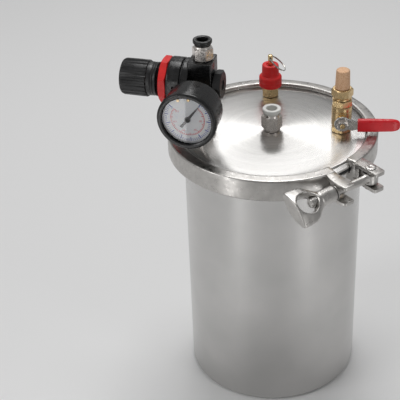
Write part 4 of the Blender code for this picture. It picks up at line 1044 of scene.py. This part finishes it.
def on_dial(angle_deg, radius, z):
    angle = math.radians(angle_deg)
    return Vector((radius * math.cos(angle), radius * math.sin(angle), z))


def dial_marks(name, radius_in, radius_out, width, count, z, long_every, long_by, look):
    """Thin raised ticks round the dial, from the zero clockwise through 270 degrees."""
    mesh_data = bmesh.new()
    for k in range(count + 1):
        angle = POINTER_DEG - 270 * k / count
        outer = radius_out
        inner = radius_in - (long_by if k % long_every == 0 else 0)
        side = on_dial(angle + 90, width / 2 * (1.6 if k % long_every == 0 else 1), 0)
        corners = [on_dial(angle, inner, z) - side, on_dial(angle, outer, z) - side]
        corners += [on_dial(angle, outer, z) + side, on_dial(angle, inner, z) + side]
        low = [mesh_data.verts.new(c) for c in corners]
        high = [mesh_data.verts.new(c + Vector((0, 0, 0.03))) for c in corners]
        mesh_data.faces.new(low)
        mesh_data.faces.new(high)
        for a in range(4):
            b = (a + 1) % 4
            mesh_data.faces.new((low[a], low[b], high[b], high[a]))
    shown(make(name, mesh_data, GAUGE), "lid", "dial_face", look=look)


def dial_band(name, radius, width, z, look):
    """A printed arc beside the ticks."""
    sections = []
    for k in range(91):
        angle = POINTER_DEG - 3 * k
        sections.append([
            on_dial(angle, radius - width / 2, z), on_dial(angle, radius + width / 2, z),
            on_dial(angle, radius + width / 2, z + 0.03), on_dial(angle, radius - width / 2, z + 0.03),
        ])
    shown(lofted(name, sections, GAUGE), "lid", "dial_face", look=look)


def dial_numbers(name, values, radius, size, z, look):
    """The numbers of one scale, as thin raised letters that stand as the dial does."""
    turn = POINTER_DEG - 225
    things = []
    for k, value in enumerate(values):
        angle = POINTER_DEG - 270 * k / (len(values) - 1)
        curve = bpy.data.curves.new("number", "FONT")
        curve.body = str(value)
        curve.size = size * MM
        curve.align_x = "CENTER"
        curve.align_y = "CENTER"
        curve.extrude = 0.015 * MM
        text = bpy.data.objects.new("number", curve)
        bpy.context.scene.collection.objects.link(text)
        text.matrix_world = GAUGE @ Matrix.Translation(on_dial(angle, radius,
            z) * MM) @ Matrix.Rotation(math.radians(turn), 4, "Z")
        bpy.context.view_layer.update()
        mesh = bpy.data.meshes.new_from_object(text.evaluated_get(bpy.context.evaluated_depsgraph_get()))
        solid = bpy.data.objects.new(name, mesh)
        bpy.context.scene.collection.objects.link(solid)
        solid.matrix_world = text.matrix_world.copy()
        bpy.data.objects.remove(text)
        things.append(solid)
    shown(merged(name, things), "lid", "dial_face", look=look)


def gauge_face():
    low = GAUGE_DIAL_AT
    top = low + 0.7
    dial = turned("dial", [(1.2, low), (18.9, low), (18.9, top), (17.9, top), (1.2, top)], GAUGE, 96)
    holes = []
    for k, (x, y) in enumerate(DIAL_SCREWS):
        spot = place(GAUGE @ Vector((x * MM, y * MM, 0)) / MM, REG_RIGHT, REG_FRONT)
        holes.append(rod("hole", 0.95, low - 2, low + 2, spot, 24))
        foot, head = low - 1.6, top + GAP
        stations = [(0, foot), (0.6, foot), (0.6, head), (1.25, head), (1.2, head + 0.3),
            (0.9, head + 0.5), (0, head + 0.5)]
        screw = turned(f"dial_screw_head_{k + 1}", stations, spot, 32)
        slot = [(-2, -0.16), (2, -0.16), (2, 0.16), (-2, 0.16)]
        boolean(screw,
            [extruded("slot", slot, head + 0.25, head + 2, spot @ Matrix.Rotation(0.7 + k, 4, "Z"))])
        shown(screw, "lid", "brass", f"dial_screw_{k + 1}")
    boolean(dial, holes)
    shown(dial, "lid", "dial_face", "gauge_dial")
    dial_marks("ticks_outer", 15.0, 16.8, 0.46, 50, top, 5, 0.9, "dial_blue")
    dial_marks("ticks_inner", 11.1, 12.1, 0.36, 40, top, 5, 0.6, "dial_red")
    dial_band("band_inner", 12.25, 0.34, top, "dial_red")
    dial_numbers("numbers_outer", (0, 2, 4, 6, 8, 10), 13.7, 2.1, top, "dial_blue")
    dial_numbers("numbers_inner", (0, 30, 60, 90, 120, 150), 9.4, 2.1, top, "dial_red")
    low = top + GAP
    hub = turned(
        "pointer",
        [(0, low - 2.4), (0.8, low - 2.4), (0.8, low), (2.1, low), (2.2, low + 0.3),
            (2.1, low + 0.8), (1.4, low + 1.2), (0, low + 1.2)],
        GAUGE, 48,
    )
    outline = [(-8.0, -1.1), (-8.0, 1.1), (-2.0, 0.8), (2.0, 1.0), (13.2, 0.22), (13.2, -0.22),
        (2.0, -1.0), (-2.0, -0.8)]
    needle = extruded("needle", outline, low + 0.1, low + 0.6,
        GAUGE @ Matrix.Rotation(math.radians(POINTER_DEG), 4, "Z"))
    shown(merged("pointer", [hub, bake(soften(needle, 0.1, 2))]), "gauge_pointer", "black_plastic",
        "gauge_pointer")
    face = BLOCK_HALF_D + GAP
    stations = [(1.2, 5.2), (PORT_R, 5.2), (PORT_R, face), *hexagon(6.8, face, GAUGE_BACK - GAP, 0.7)]
    stations += [(3.3, GAUGE_BACK - GAP), (3.3, 29.5), (1.2, 29.5)]
    shown(turned("stub", stations, GAUGE), "lid", "brass", "gauge_socket")


# ---------------------------------------------------------------- stage
def panel(name, size, at, strength, target=(0, 0, 0.18)):
    """A soft area light that faces the pot."""
    data = bpy.data.lights.new(name, "AREA")
    data.shape = "RECTANGLE"
    data.size, data.size_y = size
    data.energy = strength
    light = bpy.data.objects.new(name, data)
    bpy.context.scene.collection.objects.link(light)
    light.location = at
    light.rotation_euler = (Vector(at) - Vector(target)).to_track_quat("Z", "Y").to_euler()
    return light


def floor():
    mesh_data = bmesh.new()
    bmesh.ops.create_grid(mesh_data, x_segments=1, y_segments=1, size=3000)
    ground = make("floor", mesh_data, place((0, 0, -0.6)))
    material = bpy.data.materials.new("floor")
    material.use_nodes = True
    shader = material.node_tree.nodes["Principled BSDF"]
    shader.inputs["Base Color"].default_value = (0.8, 0.8, 0.8, 1.0)
    shader.inputs["Roughness"].default_value = 0.6
    ground.data.materials.append(material)


STRIP_POWER = 0.11
WORLD_LEVEL = 0.3


def strip(name, side):
    """A tall softbox standing beside the pot, turned towards its axis."""
    light = panel(name, (0.05, 0.34), (side * 0.19, -0.23, 0.17), STRIP_POWER, (0, 0, 0.17))
    light.visible_camera = False


def studio():
    scene = bpy.context.scene
    scene.view_settings.view_transform = "Standard"
    world = bpy.data.worlds.new("studio")
    world.use_nodes = True
    background = world.node_tree.nodes["Background"]
    background.inputs["Color"].default_value = (WORLD_LEVEL, WORLD_LEVEL, WORLD_LEVEL, 1)
    scene.world = world
    floor()
    strip("strip_left", -1)
    strip("strip_right", 1)
    panel("back_top", (0.3, 0.3), (-0.03, 1.15, 1.05), 0.9)
    panel("left_key", (0.5, 0.8), (-1.3, -0.6, 0.9), 4)
    panel("top", (0.7, 0.7), (0.0, 0.45, 1.4), 9)


def camera():
    data = bpy.data.cameras.new("camera")
    data.sensor_width = 36
    data.lens = 104.795
    data.shift_x = -0.182175
    data.shift_y = 0.06
    eye = bpy.data.objects.new("camera", data)
    bpy.context.scene.collection.objects.link(eye)
    eye.location = (0.0, -0.758541, 0.631734)
    eye.rotation_euler = (0.980577, 0.0, 0.0)
    bpy.context.scene.camera = eye


def carried_over():
    """Hidden inner parts and the gasket stay as the CAD has them, with the same finishes."""
    for row in frame["record"]["subparts"]:
        node = frame["nodes"][row["node"]]
        if not node.hide_render:
            node.data.materials.clear()
            node.data.materials.append(MATERIALS[row["material_slot"]])


pot()
lid()
clamp_halves()
pin("hinge_pin", REAR_PIN, RING_HALF_H - 0.4, "clamp_hinge_pin")
pin("bolt_pin", BOLT_PIN, EAR_OUTER, "swing_bolt_pin")
bolt()
wing()
push_fitting("outlet_fitting", LID_TOP, THREAD_END, OUTLET, LID_TOP + 2.4, "outlet_fitting_body")
push_collar("outlet_collar_ring", LID_TOP, OUTLET, "outlet_collar", "white_plastic",
    "outlet_release_collar")
push_fitting("inlet_fitting", BLOCK_TOP - 2.8, BLOCK_TOP - 8.8, REG_DOWN, BLOCK_TOP + GAP,
    "inlet_fitting_body")
push_collar("inlet_collar_ring", BLOCK_TOP - 2.8, REG_DOWN, "inlet_collar", "black_plastic",
    "inlet_release_collar")
relief()
ball_valve()
lever()
silencer()
regulator()
octagon_nut()
knob()
nipple()
gauge_housing()
gauge_face()
carried_over()
studio()
camera()
